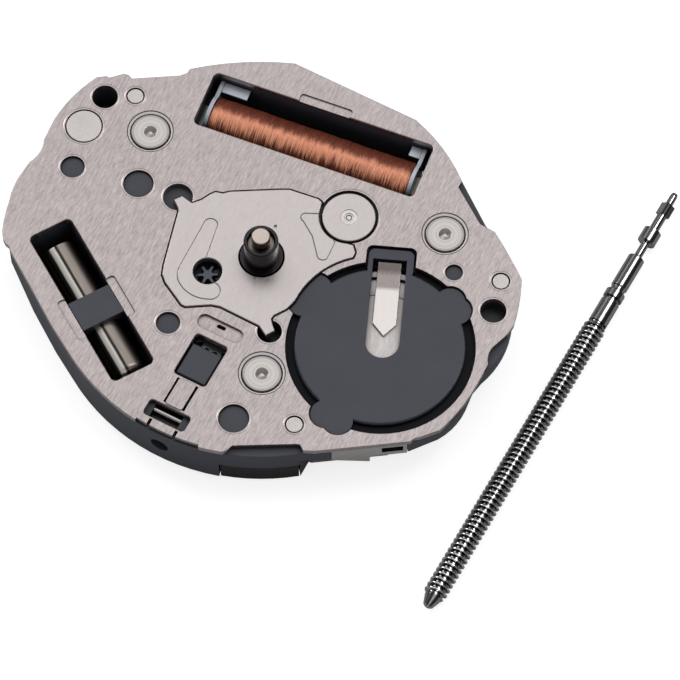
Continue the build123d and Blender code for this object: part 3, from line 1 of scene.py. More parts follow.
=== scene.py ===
"""Quartz watch movement, dial side up, with its setting stem lying beside it.

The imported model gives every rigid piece. This file adds the finishes, the wound copper, the cut thread
of the stem, the light, the floor and the camera. Lengths are named in millimetres and multiplied by MM.
"""

import bpy
import numpy as np
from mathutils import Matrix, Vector


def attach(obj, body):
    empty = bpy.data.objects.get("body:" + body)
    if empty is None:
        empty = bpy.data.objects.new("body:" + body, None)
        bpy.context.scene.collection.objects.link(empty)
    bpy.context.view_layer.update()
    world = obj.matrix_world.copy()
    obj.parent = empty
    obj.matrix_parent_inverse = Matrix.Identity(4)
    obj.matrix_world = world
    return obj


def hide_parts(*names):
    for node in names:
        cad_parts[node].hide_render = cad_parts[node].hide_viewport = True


MM = 0.001
ROOT_BODY, STEM_BODY = "movement", "stem_body"

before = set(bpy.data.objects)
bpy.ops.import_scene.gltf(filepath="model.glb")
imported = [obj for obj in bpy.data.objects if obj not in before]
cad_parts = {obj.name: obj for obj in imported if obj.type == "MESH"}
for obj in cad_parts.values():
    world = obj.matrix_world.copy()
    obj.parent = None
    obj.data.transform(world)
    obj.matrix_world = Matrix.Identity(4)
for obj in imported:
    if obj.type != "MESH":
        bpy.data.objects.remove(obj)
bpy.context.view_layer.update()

# View and bench
VIEW_POINT = (1.686, 4.281, 0.0)         # where the camera looks, on the level of the dial seat
VIEW_BACK = (0.37873, 0.20137, 0.90334)  # from there towards the camera
VIEW_DISTANCE = 169.8
VIEW_NEAR, VIEW_FAR = 10.0, 10000.0
LENS, SENSOR = 238.2, 36.0
BENCH_LEVEL, BENCH_HALF = -2.65, 900.0
BENCH_TONE, BENCH_MOTTLE = 0.45, 0.01
BENCH_BOOST = 0.76                      # what the bench adds for the camera, to read as white paper

# Room and lights
AMBIENT_TONE = (0.97, 0.98, 1.0)
AMBIENT_DIFFUSE = 0.54
AMBIENT_HIGH, AMBIENT_LOW = 0.34, 0.07  # what metal sees overhead and towards the horizon
AMBIENT_TOP = 0.9                       # how steeply up the overhead tone is reached, 1 being straight up
LIGHT_DISTANCE = 420.0
LIGHTS = (                              # name, direction towards it, width and height, power in watts
    ("key_light", (-0.44, -0.22, 0.87), (380.0, 380.0), 0.30),
    ("window_light", (-0.379, 0.28, 0.88), (90.0, 240.0), 0.26),
    ("side_light", (-0.25, -0.80, 0.62), (90.0, 180.0), 0.30))

# Coil, as in the solids
COIL_CENTRE, COIL_ANGLE = (-5.401, -0.727, -1.15), 97.03
WIRE_R, WIND_HALF, WIND_SHOULDER = 0.90, 4.12, 0.10
WIRE_PITCH, WIRE_RIPPLE, WIRE_LUMP = 0.052, 0.010, 0.016
WIND_RINGS, WIND_AROUND = 900, 96
DRIFT_WAVES, DRIFT_TURNS = (3.1, 7.7), (0.35, 0.25)          # radians for each millimetre, wire turns
LUMP_WAVES, LUMP_SHARES = (1.9, 5.3, 11.0), (1.0, 0.6, 0.5)  # radians for each millimetre, weights

# Holes and pillars of the dial-side plate, as in the solids: place in the plan, radius
PILLAR_SPOTS = ((-2.76, -6.37, 0.0), (4.28, 2.33, 0.0), (-4.17, 5.71, 0.0))
PLATE_HOLES = (
    (-3.84, -7.63, 0.36), (5.57, 4.41, 0.36), (-3.37, 8.51, 0.36), (-1.75, -8.74, 0.73),
    (-3.25, -8.65, 0.50), (-2.12, 8.83, 0.50), (0.0, -8.26, 0.47), (-0.55, -5.67, 0.585),
    (-2.86, 6.77, 0.34), (-0.76, -4.05, 0.575), (6.42, 2.29, 0.585), (4.10, -1.80, 0.46),
    (-3.07, 2.14, 1.14), (2.62, 1.76, 0.47))

# Crystal can, well of the cell and the leaf in it, as in the solids
CRYSTAL_CENTRE, CRYSTAL_ANGLE, CRYSTAL_R = (4.60, -4.85), 57.0, 0.80
WELL_SPOT, WELL_R = ((1.22, 5.76, 0.0),), 3.62
MOAT_DEPTH, MOAT_SOFT = 0.25, 0.06
LEAF_ANGLE = 202.8

# Stem, as in the solids
STEM_TIP, STEM_ANGLE, STEM_LENGTH = (-10.88, 12.35, -2.20), -1.54, 19.84
THREAD_START, THREAD_END = 6.41, 19.45
THREAD_R, THREAD_CORE, THREAD_PITCH = 0.45, 0.32, 0.225
CREST_SWING, CREST_LIFT = 0.80, 0.40    # the thread's wave is swing * cosine + lift, held between 0 and 1
SQUARE_SIDE, SQUARE_START, SQUARE_END = 0.40, 0.55, 1.08
STEM_BEVEL, STEM_END_R = 0.06, (0.20, 0.12)
STEM_CORNER = 48.0                      # degrees; a sharper turn than this between faces is left unsmoothed
STEM_HAIR = 0.002                       # how far from a corner of the turning its nearest ring lies
STEM_AROUND, SQUARE_RINGS, THREAD_RINGS = 64, 6, 14
STEM_TURNED = (                         # distance from the tip, radius
    (0.00, 0.115), (0.12, 0.145), (0.55, 0.145), (0.55, 0.19), (1.80, 0.19), (1.86, 0.36), (2.41, 0.36),
    (2.47, 0.155), (3.09, 0.155), (3.21, 0.335), (4.64, 0.335), (4.70, 0.29), (4.84, 0.29),
    (4.90, 0.39), (5.20, 0.39), (5.20, 0.29), (5.36, 0.29), (5.36, 0.375), (6.41, 0.375), (6.41, 0.32))

# Bands of the finishes: where a band starts, is full, starts to fade and has gone, or where a step runs
# Painted highlight in the groove round each pillar, and painted shade on the hairline and pit of its recess
RECESS_GROOVE = (0.780, 0.800, 0.860, 0.880)    # distances from a pillar's middle
RECESS_HAIR = (0.860, 0.880, 0.895, 0.915)
RECESS_PIT = (0.800, 0.780)
# Painted shade on a pillar: a dark line at its rim and a darker bevel
PILLAR_RIM = (0.700, 0.735, 0.760, 0.800)
PILLAR_BEVEL = (0.615, 0.640, 0.700, 0.720)
# Painted highlight on the rolled edge round each hole; the rounding itself is a bump
ROLLED_EDGE = (0.075, 0.045)                    # distances outside a hole
# Painted reflections on the crystal's can: a bright window, a warm grey wall and a faint brown band
CAN_PAINTED_WINDOW_HIGHLIGHT = (-0.50, -0.43, -0.25, -0.17)       # radii to the left of the can's axis
CAN_PAINTED_WALL_REFLECTION = (-0.10, -0.02, 0.35, 0.75)
CAN_PAINTED_FAINT_REFLECTION = (-0.86, -0.80, -0.76, -0.68)
# Painted shade on the winding, above and below its painted highlight band
COIL_UPPER, COIL_LOWER = (-0.07, 0.19), (-0.44, -0.74)    # radii to the left of the coil's axis
# Painted reflections on the stem: a white window highlight between two dark bands, and a painted highlight
# on its thread's crests
STEM_PAINTED_WINDOW_HIGHLIGHT = (0.10, 0.17, 0.32, 0.42)          # sideways for each unit of height over the stem's axis
STEM_LEFT_PAINTED_DARK_REFLECTION = (-0.30, -0.20, 0.02, 0.10)
STEM_RIGHT_PAINTED_DARK_REFLECTION = (0.42, 0.50, 0.95, 1.20)
STEM_PAINTED_CREST_HIGHLIGHT = (0.405, 0.435)                     # distances from the stem's axis
# Painted shade on the leaf past its bend, and deeper towards its root
LEAF_SHADE, LEAF_ROOT = (2.52, 2.70), (3.12, 3.37)        # distances from the well's middle to the root

# Relief of the finishes: how far edges are rounded for the light, how deep marks go, and how near a wall
# has to be for a corner to get painted shade
SOFT_EDGE, TURNED_EDGE, FINE_EDGE = 0.03, 0.02, 0.01
SCRATCH_DEPTH, GRAIN_DEPTH, MARK_DEPTH = 0.006, 0.004, 0.003
ROLL_DEPTH, WIRE_DEPTH = 0.05, 0.014
SHEET_REACH, HOLLOW_REACH, POCKET_REACH, THREAD_REACH = 0.35, 0.5, 0.7, 0.16


# Shader maths

class Value:
    """A shader socket that can be used in Python expressions; each operator adds one Math node."""

    def __init__(self, maker, socket):
        self.maker, self.socket = maker, socket

    def __add__(self, other):
        return self.maker.math("ADD", self, other)

    def __sub__(self, other):
        return self.maker.math("SUBTRACT", self, other)

    def __rsub__(self, other):
        return self.maker.math("SUBTRACT", other, self)

    def __mul__(self, other):
        return self.maker.math("MULTIPLY", self, other)

    def __truediv__(self, other):
        return self.maker.math("DIVIDE", self, other)

    def __pow__(self, other):
        return self.maker.math("POWER", self, other)

    __radd__, __rmul__ = __add__, __mul__


class Finish:
    """One node material under construction."""

    def __init__(self, name):
        self.material = bpy.data.materials.new(name)
        self.material.use_nodes = True
        self.tree = self.material.node_tree
        self.shader = self.tree.nodes["Principled BSDF"]
        self.place = self.add("ShaderNodeTexCoord").outputs["Object"]

    def add(self, kind, settings=None, **inputs):
        """A node of this kind: its settings first, then values or links for its sockets.

        A socket is given by its name, or by the letter i and its number.
        """
        node = self.tree.nodes.new(kind)
        for key, value in (settings or {}).items():
            setattr(node, key, value)
        for key, value in inputs.items():
            self.feed(node.inputs[int(key[1:]) if key[0] == "i" and key[1:].isdigit() else key], value)
        return node

    def feed(self, socket, value):
        """A link where the value is a socket, and a plain setting where it isn't."""
        if isinstance(value, Value):
            value = value.socket
        if isinstance(value, bpy.types.NodeSocket):
            self.tree.links.new(value, socket)
        else:
            socket.default_value = value

    def value(self, socket):
        return Value(self, socket)

    def math(self, operation, a, b=0.0):
        return self.value(self.add("ShaderNodeMath", {"operation": operation}, i0=a, i1=b).outputs[0])

    def scaled(self, vector, factors):
        """A vector with each part multiplied by its own factor."""
        return self.add("ShaderNodeVectorMath", {"operation": "MULTIPLY"}, i0=vector, i1=factors).outputs[0]

    def stretched(self, along, across, angle=0.0):
        """The place in the piece, turned about Z and scaled differently along and across a direction."""
        turned = self.add("ShaderNodeMapping", {"vector_type": "POINT"}, Vector=self.place,
                          Rotation=(0.0, 0.0, -np.radians(angle)))
        return self.scaled(turned.outputs[0], (along / MM, across / MM, across / MM))

    def noise(self, vector, detail=2.0, roughness=0.5):
        """Noise between 0 and 1."""
        node = self.add("ShaderNodeTexNoise", {"noise_dimensions": "3D"}, Vector=vector, Scale=1.0,
                        Detail=detail, Roughness=roughness)
        return self.value(node.outputs["Fac"])

    def between(self, factor, low, high):
        """The factor stretched so that low gives 0 and high gives 1, held within them."""
        node = self.add("ShaderNodeMapRange", {"clamp": True}, i0=factor, i1=low, i2=high)
        return self.value(node.outputs["Result"])

    def band(self, factor, stops):
        """0 before the first stop, 1 from the second to the third, and 0 again after the fourth."""
        start, full, fading, gone = stops
        return self.between(factor, start, full) * self.between(factor, gone, fading)

    def mixed(self, factor, first, second):
        """A colour between two colours, each three numbers or a link."""
        first, second = ((*c, 1.0) if isinstance(c, tuple) else c for c in (first, second))
        return self.add("ShaderNodeMix", {"data_type": "RGBA"}, i0=factor, i6=first, i7=second).outputs[2]

    def plan(self):
        """The two plan coordinates in millimetres."""
        parts = self.add("ShaderNodeSeparateXYZ", i0=self.place).outputs
        return self.value(parts[0]) / MM, self.value(parts[1]) / MM

    def level(self):
        """The height in millimetres."""
        return self.value(self.add("ShaderNodeSeparateXYZ", i0=self.place).outputs[2]) / MM

    def across(self, centre, angle, radius):
        """How far a point lies to the left of a line in the plan, counted in radii."""
        x, y = self.plan()
        a = np.radians(angle)
        return (y - centre[1]) * (np.cos(a) / radius) - (x - centre[0]) * (np.sin(a) / radius)

    def past_rim(self, circles):
        """How far a point of the plan lies outside the nearest of some circles, in millimetres."""
        flat = self.scaled(self.place, (1 / MM, 1 / MM, 0.0))
        nearest = None
        for x, y, radius in circles:
            away = self.add("ShaderNodeVectorMath", {"operation": "DISTANCE"}, i0=flat, i1=(x, y, 0.0))
            gap = self.value(away.outputs["Value"]) - radius
            nearest = gap if nearest is None else self.math("MINIMUM", nearest, gap)
        return nearest

    def open_air(self, reach):
        """From 0 deep in a corner to 1 in the open, judged over a reach in millimetres."""
        node = self.add("ShaderNodeAmbientOcclusion", {"samples": 8}, Distance=reach * MM)
        return self.value(node.outputs["AO"])

    def edges(self, radius):
        """A normal that rounds every edge by the radius, so that edges catch the light."""
        return self.add("ShaderNodeBevel", {"samples": 6}, Radius=radius * MM).outputs[0]

    def bump(self, height, strength, distance, normal=None):
        """A bumped normal; the distance is in millimetres."""
        node = self.add("ShaderNodeBump", Height=height, Strength=strength, Distance=distance * MM)
        if normal is not None:
            self.feed(node.inputs["Normal"], normal)
        return node.outputs[0]

    def done(self, **sockets):
        """Feed the shader; underscores in the names stand for spaces."""
        for key, value in sockets.items():
            self.feed(self.shader.inputs[key.replace("_", " ")], value)
        return self.material


def times(colour, factor):
    """A colour made darker or lighter, with no part over 1."""
    return tuple(min(1.0, part * factor) for part in colour)


# Finishes

def brushed_metal(name, colour, angle=0.0, fine=10.0, run=1.1, relief=0.35, rough=0.36, bevel=SOFT_EDGE,
                  spread=0.16):
    """Metal with short straight scratches in one direction, two sizes of them, clouds, and painted shade in
    its corners.
    """
    f = Finish(name)
    scratches = f.noise(f.stretched(run, fine, angle), detail=3.0, roughness=0.75)
    broad = f.noise(f.stretched(run * 0.6, fine / 4, angle + 5), roughness=0.6)
    crossed = f.noise(f.stretched(run * 0.8, fine * 0.9, angle - 24), roughness=0.7)
    clouds = f.noise(f.stretched(0.3, 0.3))
    grain = scratches * 0.55 + broad * 0.20 + crossed * 0.25
    shade = f.between(grain, 0.38, 0.62) * 0.85 + clouds * 0.15
    # painted shade: corners near a wall are darkened in the base colour
    corner = f.between(f.open_air(SHEET_REACH), 0.35, 0.85)
    bare = f.mixed(shade, times(colour, 1 - spread), times(colour, 1 + spread))
    return f.done(
        Base_Color=f.mixed(corner, times(colour, 0.35), bare),
        Metallic=1.0,
        Roughness=f.between(grain, 0.35, 0.65) * 0.16 + (rough - 0.08),
        Normal=f.bump(grain, relief, SCRATCH_DEPTH, f.edges(bevel)))


def pressed_plate(name, colour, angle):
    """Brushed steel plate: painted highlights on the rolled edge of every hole and in the groove round
    every pillar, painted shade in corners and recesses.
    """
    f = Finish(name)
    scratches = f.noise(f.stretched(2.2, 13.0, angle), detail=3.0, roughness=0.8)
    broad = f.noise(f.stretched(1.0, 4.0, angle + 4), roughness=0.6)
    crossed = f.noise(f.stretched(2.6, 15.0, angle - 16), roughness=0.8)
    clouds = f.noise(f.stretched(0.3, 0.3))
    grain = scratches * 0.55 + broad * 0.15 + crossed * 0.30
    shade = f.between(grain, 0.38, 0.62) * 0.85 + clouds * 0.15
    # painted shade: corners near a wall are darkened in the base colour
    corner = f.between(f.open_air(SHEET_REACH), 0.35, 0.85)
    # the rolled edge round each hole: real relief through the bump, and a painted highlight in the base
    # colour
    edge = f.between(f.past_rim(PLATE_HOLES), *ROLLED_EDGE)
    out = f.past_rim(PILLAR_SPOTS)
    # painted highlight: the groove round each pillar is near white and less metallic
    groove = f.band(out, RECESS_GROOVE)
    # painted shade: a dark hairline at the edge of each pillar's recess, and a dark pit inside it
    painted_shade_rings = f.band(out, RECESS_HAIR) + f.between(out, *RECESS_PIT)
    bare = f.mixed(shade, times(colour, 0.68), times(colour, 1.32))
    bare = f.mixed(corner, times(colour, 0.30), bare)
    rolled = f.mixed(edge * 0.45, bare, times(colour, 1.45))
    ringed = f.mixed(groove, rolled, (0.95, 0.90, 0.88))
    return f.done(
        Base_Color=f.mixed(painted_shade_rings, ringed, times(colour, 0.12)),
        Metallic=1 - groove * 0.75,
        Roughness=f.between(grain, 0.35, 0.65) * 0.16 + 0.28,
        Normal=f.bump(grain, 0.45, SCRATCH_DEPTH, f.bump(edge, 0.35, ROLL_DEPTH, f.edges(SOFT_EDGE))))


def turned_pillar(name, colour):
    """A faced steel end with rings about its own middle, painted shade on its bevel and a painted line of
    shade at its rim.
    """
    f = Finish(name)
    out = f.past_rim(PILLAR_SPOTS)
    marks = f.noise(f.stretched(9.0, 9.0), detail=3.0, roughness=0.6)
    rings = f.math("SINE", (out + (marks - 0.5) * 0.02) * 95.0) * 0.5 + 0.5
    slow = f.math("SINE", out * 31.0 + 0.6) * 0.5 + 0.5
    shade = rings * 0.35 + slow * 0.45 + marks * 0.20
    faced = f.mixed(shade, times(colour, 0.84), times(colour, 1.14))
    # painted shade: the bevel is darkened
    faced = f.mixed(f.band(out, PILLAR_BEVEL) * 0.6, faced, times(colour, 0.50))
    # painted shade: a dark line at the pillar's rim
    return f.done(
        Base_Color=f.mixed(f.band(out, PILLAR_RIM) * 0.8, faced, times(colour, 0.15)),
        Metallic=1.0,
        Roughness=f.between(shade, 0.2, 0.8) * 0.08 + 0.24,
        Normal=f.bump(shade, 0.25, SCRATCH_DEPTH, f.edges(TURNED_EDGE)))


def drawn_can(name):
    """The crystal's drawn can: mirror metal, with painted reflections of a narrow window, a warm grey wall
    and its own dark pocket in its base colour.
    """
    f = Finish(name)
    marks = f.noise(f.stretched(1.5, 14.0, CRYSTAL_ANGLE), detail=3.0, roughness=0.6)
    # painted reflections: bands across the can's axis stand for a window, a wall and a dark pocket
    side = f.across(CRYSTAL_CENTRE, CRYSTAL_ANGLE, CRYSTAL_R) + (marks - 0.5) * 0.05
    grey = f.mixed(marks, (0.24, 0.20, 0.175), (0.40, 0.35, 0.32))
    base = f.mixed(f.band(side, CAN_PAINTED_WALL_REFLECTION), (0.035, 0.030, 0.026), grey)
    base = f.mixed(f.band(side, CAN_PAINTED_FAINT_REFLECTION) * 0.6, base, (0.30, 0.23, 0.17))
    return f.done(
        Base_Color=f.mixed(f.band(side, CAN_PAINTED_WINDOW_HIGHLIGHT), base, (0.98, 0.93, 0.85)),
        Metallic=1.0,
        Roughness=marks * 0.06 + 0.26,
        Normal=f.edges(SOFT_EDGE))


def sprung_leaf(name, colour):
    """A stamped steel leaf, bright on its pressing end, with painted shade past the bend, where it rises.
    """
    f = Finish(name)
    marks = f.noise(f.stretched(2.0, 14.0, LEAF_ANGLE), detail=3.0, roughness=0.7)
    past = f.across(WELL_SPOT[0], LEAF_ANGLE - 90.0, 1.0)
    # painted shade: the leaf darkens past the bend and again towards its root
    shaded = f.between(past, *LEAF_SHADE) * 0.66 + f.between(past, *LEAF_ROOT) * 0.30
    bare = f.mixed(marks, times(colour, 0.92), times(colour, 1.06))
    return f.done(
        Base_Color=f.mixed(shaded, bare, (0.15, 0.125, 0.12)),
        Metallic=1.0,
        Roughness=marks * 0.10 + 0.22,
        Normal=f.bump(marks, 0.08, GRAIN_DEPTH, f.edges(SOFT_EDGE)))


def cut_steel(name, colour):
    """Bright steel cut in a lathe: a painted white window highlight between two painted dark reflections
    along its upper side.

    The thread's crests get a paler painted highlight, and painted shade darkens its groove bottoms nearly
    to nothing.
    """
    f = Finish(name)
    marks = f.noise(f.stretched(14.0, 4.0, STEM_ANGLE), detail=3.0, roughness=0.6)
    height = f.level() - STEM_TIP[2]
    side = f.across(STEM_TIP, STEM_ANGLE, 1.0)
    lean = side / height + (marks - 0.5) * 0.10
    # painted reflections: dark bands either side of a white window highlight
    painted_dark_reflections = f.band(lean, STEM_LEFT_PAINTED_DARK_REFLECTION) + f.band(lean, STEM_RIGHT_PAINTED_DARK_REFLECTION)
    # painted highlight on the thread's crests
    crest = f.between((side * side + height * height) ** 0.5, *STEM_PAINTED_CREST_HIGHLIGHT)
    # painted shade in the thread's hollows
    hollow = f.between(f.open_air(THREAD_REACH), 0.35, 0.75)
    lit = f.mixed(marks, times(colour, 0.8), times(colour, 1.2))
    lit = f.mixed(painted_dark_reflections * 0.85, lit, (0.04, 0.04, 0.04))
    lit = f.mixed(crest * 0.75, lit, (0.75, 0.73, 0.72))
    # painted highlight: the white window band
    lit = f.mixed(f.band(lean, STEM_PAINTED_WINDOW_HIGHLIGHT), lit, (1.0, 0.98, 0.96))
    return f.done(
        Base_Color=f.mixed(hollow, times(colour, 0.05), lit),
        Metallic=1.0,
        Roughness=marks * 0.06 + 0.12,
        Normal=f.bump(marks, 0.06, MARK_DEPTH))


def smooth_metal(name, colour, rough, bevel=TURNED_EDGE):
    """Turned or drawn metal: polished, with faint clouds and fine marks, and painted shade deep in a
    hollow.
    """
    f = Finish(name)
    # painted shade: deep in a hollow the base colour is darkened
    hollow = f.between(f.open_air(HOLLOW_REACH), 0.25, 0.70)
    marks = f.noise(f.stretched(9.0, 9.0), detail=4.0, roughness=0.6)
    clouds = f.noise(f.stretched(1.3, 1.3))
    shade = f.between(marks * 0.5 + clouds * 0.5, 0.30, 0.70)
    bare = f.mixed(shade, times(colour, 0.90), times(colour, 1.10))
    return f.done(
        Base_Color=f.mixed(hollow, times(colour, 0.06), bare),
        Metallic=1.0,
        Roughness=shade * 0.08 + (rough - 0.04),
        Normal=f.bump(marks, 0.08, MARK_DEPTH, f.edges(bevel)))


def moulded(name, colour, rough=0.42, lift=0.18):
    """Moulded plastic: satin, with a fine grain, flow clouds, rub marks, painted shade in corners and
    painted shade in the moat, darkened nearly to nothing.

    The moat is what lies inside the well's radius and below the level of its floor.
    """
    f = Finish(name)
    fine = f.noise(f.stretched(12.0, 12.0), detail=3.0, roughness=0.6)
    clouds = f.noise(f.stretched(0.7, 0.7), detail=3.0)
    rubs = f.between(f.noise(f.stretched(0.8, 11.0, 35.0), detail=4.0, roughness=0.7), 0.60, 0.80)
    # painted shade: the moat is darkened nearly to nothing, and made mostly metallic
    moat = f.between(f.past_rim(WELL_SPOT), WELL_R + MOAT_SOFT, WELL_R)
    moat = moat * f.between(f.level(), -0.9 * MOAT_DEPTH, -1.1 * MOAT_DEPTH)
    # painted shade: corners near a wall are darkened in the base colour
    corner = f.between(f.open_air(POCKET_REACH), 0.30, 0.95) * (1 - moat * 0.92)
    shade = f.between(clouds, 0.30, 0.70) * 0.5 + fine * 0.3 + rubs * 0.2
    bare = f.mixed(shade, times(colour, 1 - lift), times(colour, 1 + lift))
    return f.done(
        Base_Color=f.mixed(corner, times(colour, 0.10), bare),
        Metallic=moat * 0.85,
        Roughness=clouds * 0.16 + (rough - 0.08) + rubs * -0.08,
        Normal=f.bump(fine, 0.12, GRAIN_DEPTH, f.edges(SOFT_EDGE)))


def wound_copper(name):
    """Enamelled wire: a painted highlight band below the middle of the winding, with painted shade above
    and below it, broken up by turns into streaks.
    """
    f = Finish(name)
    uv = f.add("ShaderNodeUVMap", {"uv_map": "wound"}).outputs[0]
    turns = f.noise(f.scaled(uv, (190.0, 2.2, 1.0)), detail=4.0, roughness=0.8)
    groups = f.noise(f.scaled(uv, (34.0, 2.0, 1.0)), detail=3.0, roughness=0.6)
    streak = turns * 0.65 + groups * 0.35
    # painted highlight and shade: set by how far a point lies beside the coil's axis
    side = f.across(COIL_CENTRE, COIL_ANGLE, WIRE_R) + (streak - 0.5) * 2.2
    shadow = f.between(f.between(side, *COIL_UPPER) + f.between(side, *COIL_LOWER), 0.0, 1.0)
    painted_band_highlight = f.mixed(f.between(turns, 0.36, 0.58), (0.46, 0.125, 0.060), (1.0, 0.44, 0.26))
    shaded = f.mixed(f.between(turns, 0.36, 0.60), (0.085, 0.018, 0.010), (0.25, 0.062, 0.030))
    return f.done(
        Base_Color=f.mixed(shadow, painted_band_highlight, shaded),
        Metallic=0.35,
        Roughness=0.50 - streak * 0.12,
        Normal=f.bump(turns, 0.9, WIRE_DEPTH))


# Shapes

def surface(name, points, body, node):
    """A closed tube mesh from an array of rings, of shape (rings, points round, 3).

    The faces are quads between neighbouring rings, and each end is a fan to the middle of its last ring.
    The texture map runs from 0 to 1 along the rings, and from 1 to 0 and back round them.
    """
    rings, around, _ = points.shape
    middle = points.mean(axis=1)
    verts = np.concatenate([points.reshape(-1, 3), middle[:1], middle[-1:]])
    i = np.arange(rings - 1)[:, None]
    j = np.arange(around)[None, :]
    k = (j + 1) % around
    quads = np.stack([i * around + j, i * around + k, (i + 1) * around + k, (i + 1) * around + j], -1)
    last = (rings - 1) * around
    start = np.stack([np.full(around, rings * around), k[0], j[0]], -1)
    stop = np.stack([np.full(around, rings * around + 1), last + j[0], last + k[0]], -1)
    mesh = bpy.data.meshes.new(name)
    faces = quads.reshape(-1, 4).tolist() + start.tolist() + stop.tolist()
    mesh.from_pydata(verts * MM, [], faces)
    along = np.concatenate([np.repeat(np.linspace(0, 1, rings), around), [0.0, 1.0]])
    turn = np.concatenate([np.tile(np.abs(np.linspace(-1, 1, around)), rings), [0.0, 0.0]])
    corner = np.zeros(len(mesh.loops), dtype=np.int32)
    mesh.loops.foreach_get("vertex_index", corner)
    layer = mesh.uv_layers.new(name="wound")
    layer.data.foreach_set("uv", np.stack([along[corner], turn[corner]], -1).ravel())
    mesh.polygons.foreach_set("use_smooth", np.ones(len(mesh.polygons), dtype=bool))
    piece = bpy.data.objects.new(name, mesh)
    bpy.context.scene.collection.objects.link(piece)
    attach(piece, body)
    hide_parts(node)
    return piece


def laid(along, radius, turn, start, angle):
    """Points about an axis that leaves a start point at an angle in the plan, from its rings of radii.

    Each point is start + along * forward + radius * cos(turn) * left + radius * sin(turn) * up.
    """
    c, s = np.cos(np.radians(angle)), np.sin(np.radians(angle))
    forward_left_up = np.array([[c, s, 0.0], [-s, c, 0.0], [0.0, 0.0, 1.0]])
    local = np.stack([along + 0 * turn, radius * np.cos(turn), radius * np.sin(turn)], -1)
    return np.array(start) + local @ forward_left_up


def winding():
    """A cylinder of the winding's radius with one ripple for each turn of wire.

    Radius = radius - shoulder at both ends + ripple * |sin(pi * turns)| + slow lumps, where the count of
    turns grows along the axis, by a little more where slow waves along and round the winding add to it.
    The shoulder is a quarter circle.
    """
    s = np.linspace(-WIND_HALF, WIND_HALF, WIND_RINGS)[:, None]
    t = np.linspace(0, 2 * np.pi, WIND_AROUND, endpoint=False)[None, :]
    drift = t / (2 * np.pi) + DRIFT_TURNS[0] * np.sin(DRIFT_WAVES[0] * s + 2 * np.sin(t))
    drift = drift + DRIFT_TURNS[1] * np.sin(DRIFT_WAVES[1] * s + 1.3 + np.cos(2 * t))
    ripple = WIRE_RIPPLE * (np.abs(np.sin(np.pi * (s / WIRE_PITCH + drift))) - 1)
    lumps = LUMP_SHARES[0] * np.sin(LUMP_WAVES[0] * s + 0.6)
    lumps = lumps + LUMP_SHARES[1] * np.sin(LUMP_WAVES[1] * s + t)
    lumps = lumps + LUMP_SHARES[2] * np.sin(LUMP_WAVES[2] * s + 2 * np.sin(t))
    lumps = WIRE_LUMP * lumps / sum(LUMP_SHARES)
    short = 1 - np.clip((WIND_HALF - np.abs(s)) / WIND_SHOULDER, 0, 1)
    shoulder = WIND_SHOULDER * (1 - np.sqrt(np.clip(1 - short ** 2, 0, 1)))
    r = WIRE_R - WIRE_LUMP - shoulder + ripple + lumps
    points = laid(s, r, t, COIL_CENTRE, COIL_ANGLE)
    return surface("copper_winding", points, ROOT_BODY, "coil_winding")


def stem_radius(x, t):
    """The stem's radius at distances x from the tip and angles t.

    Turned stretches follow the stations. The square is side / 2 / max(|cos|, |sin|), turned by an eighth.
    The thread is a ridge wound round its core: a smooth crest where (x / pitch - t / full turn) is near a
    whole number, and its ends fade into the core and the end cone.
    """
    stations = np.array(STEM_TURNED)
    plain = np.interp(x, stations[:, 0], stations[:, 1])
    eighth = np.pi / 4
    square = SQUARE_SIDE / 2 / np.maximum(np.abs(np.cos(t - eighth)), np.abs(np.sin(t - eighth)))
    phase = x / THREAD_PITCH - t / (2 * np.pi)
    wave = np.clip(CREST_SWING * np.cos(2 * np.pi * phase) + CREST_LIFT, 0, 1)
    fade = np.clip((x - THREAD_START) / THREAD_PITCH, 0, 1)
    fade = fade * np.clip((THREAD_END - x) / THREAD_PITCH, 0, 1)
    thread = THREAD_CORE + (THREAD_R - THREAD_CORE) * wave * fade
    cone = np.interp(x, [THREAD_END, STEM_LENGTH - STEM_BEVEL, STEM_LENGTH], [THREAD_CORE, *STEM_END_R])
    r = np.where(x < THREAD_START, plain, np.where(x < THREAD_END, thread, cone))
    return np.where((x > SQUARE_START) & (x < SQUARE_END), square, r)


def stem_rings():
    """Distances of the rings from the tip.

    Two lie close together inside either end of every longer turned stretch, so that a corner's smoothing
    stays at the corner, and each turn of the thread has THREAD_RINGS of them.
    """
    hair, near = STEM_HAIR, 8 * STEM_HAIR
    turned = [STEM_TURNED[0][0]]
    for (start, _), (stop, _) in zip(STEM_TURNED, STEM_TURNED[1:]):
        ends = [start + hair, start + near, stop - near, stop - hair]
        turned += ends if stop - start > 20 * hair else [stop]
    square = np.linspace(SQUARE_START + hair, SQUARE_END - hair, SQUARE_RINGS)
    beside = [SQUARE_START - hair, SQUARE_END + hair]
    count = int((THREAD_END - THREAD_START) / THREAD_PITCH * THREAD_RINGS)
    threaded = np.linspace(THREAD_START + hair, THREAD_END, count)
    end = [STEM_LENGTH - STEM_BEVEL, STEM_LENGTH]
    return np.unique(np.concatenate([turned, square, beside, threaded, end]))


def stem():
    """The stem as rings of points about its axis, with its radius from stem_radius."""
    x = stem_rings()[:, None]
    t = np.linspace(0, 2 * np.pi, STEM_AROUND, endpoint=False)[None, :]
    points = laid(x, stem_radius(x + 0 * t, t + 0 * x), t, STEM_TIP, STEM_ANGLE)
    piece = surface("cut_stem", points, STEM_BODY, "stem")
    piece.data.set_sharp_from_angle(angle=np.radians(STEM_CORNER))
    return piece


# Stage

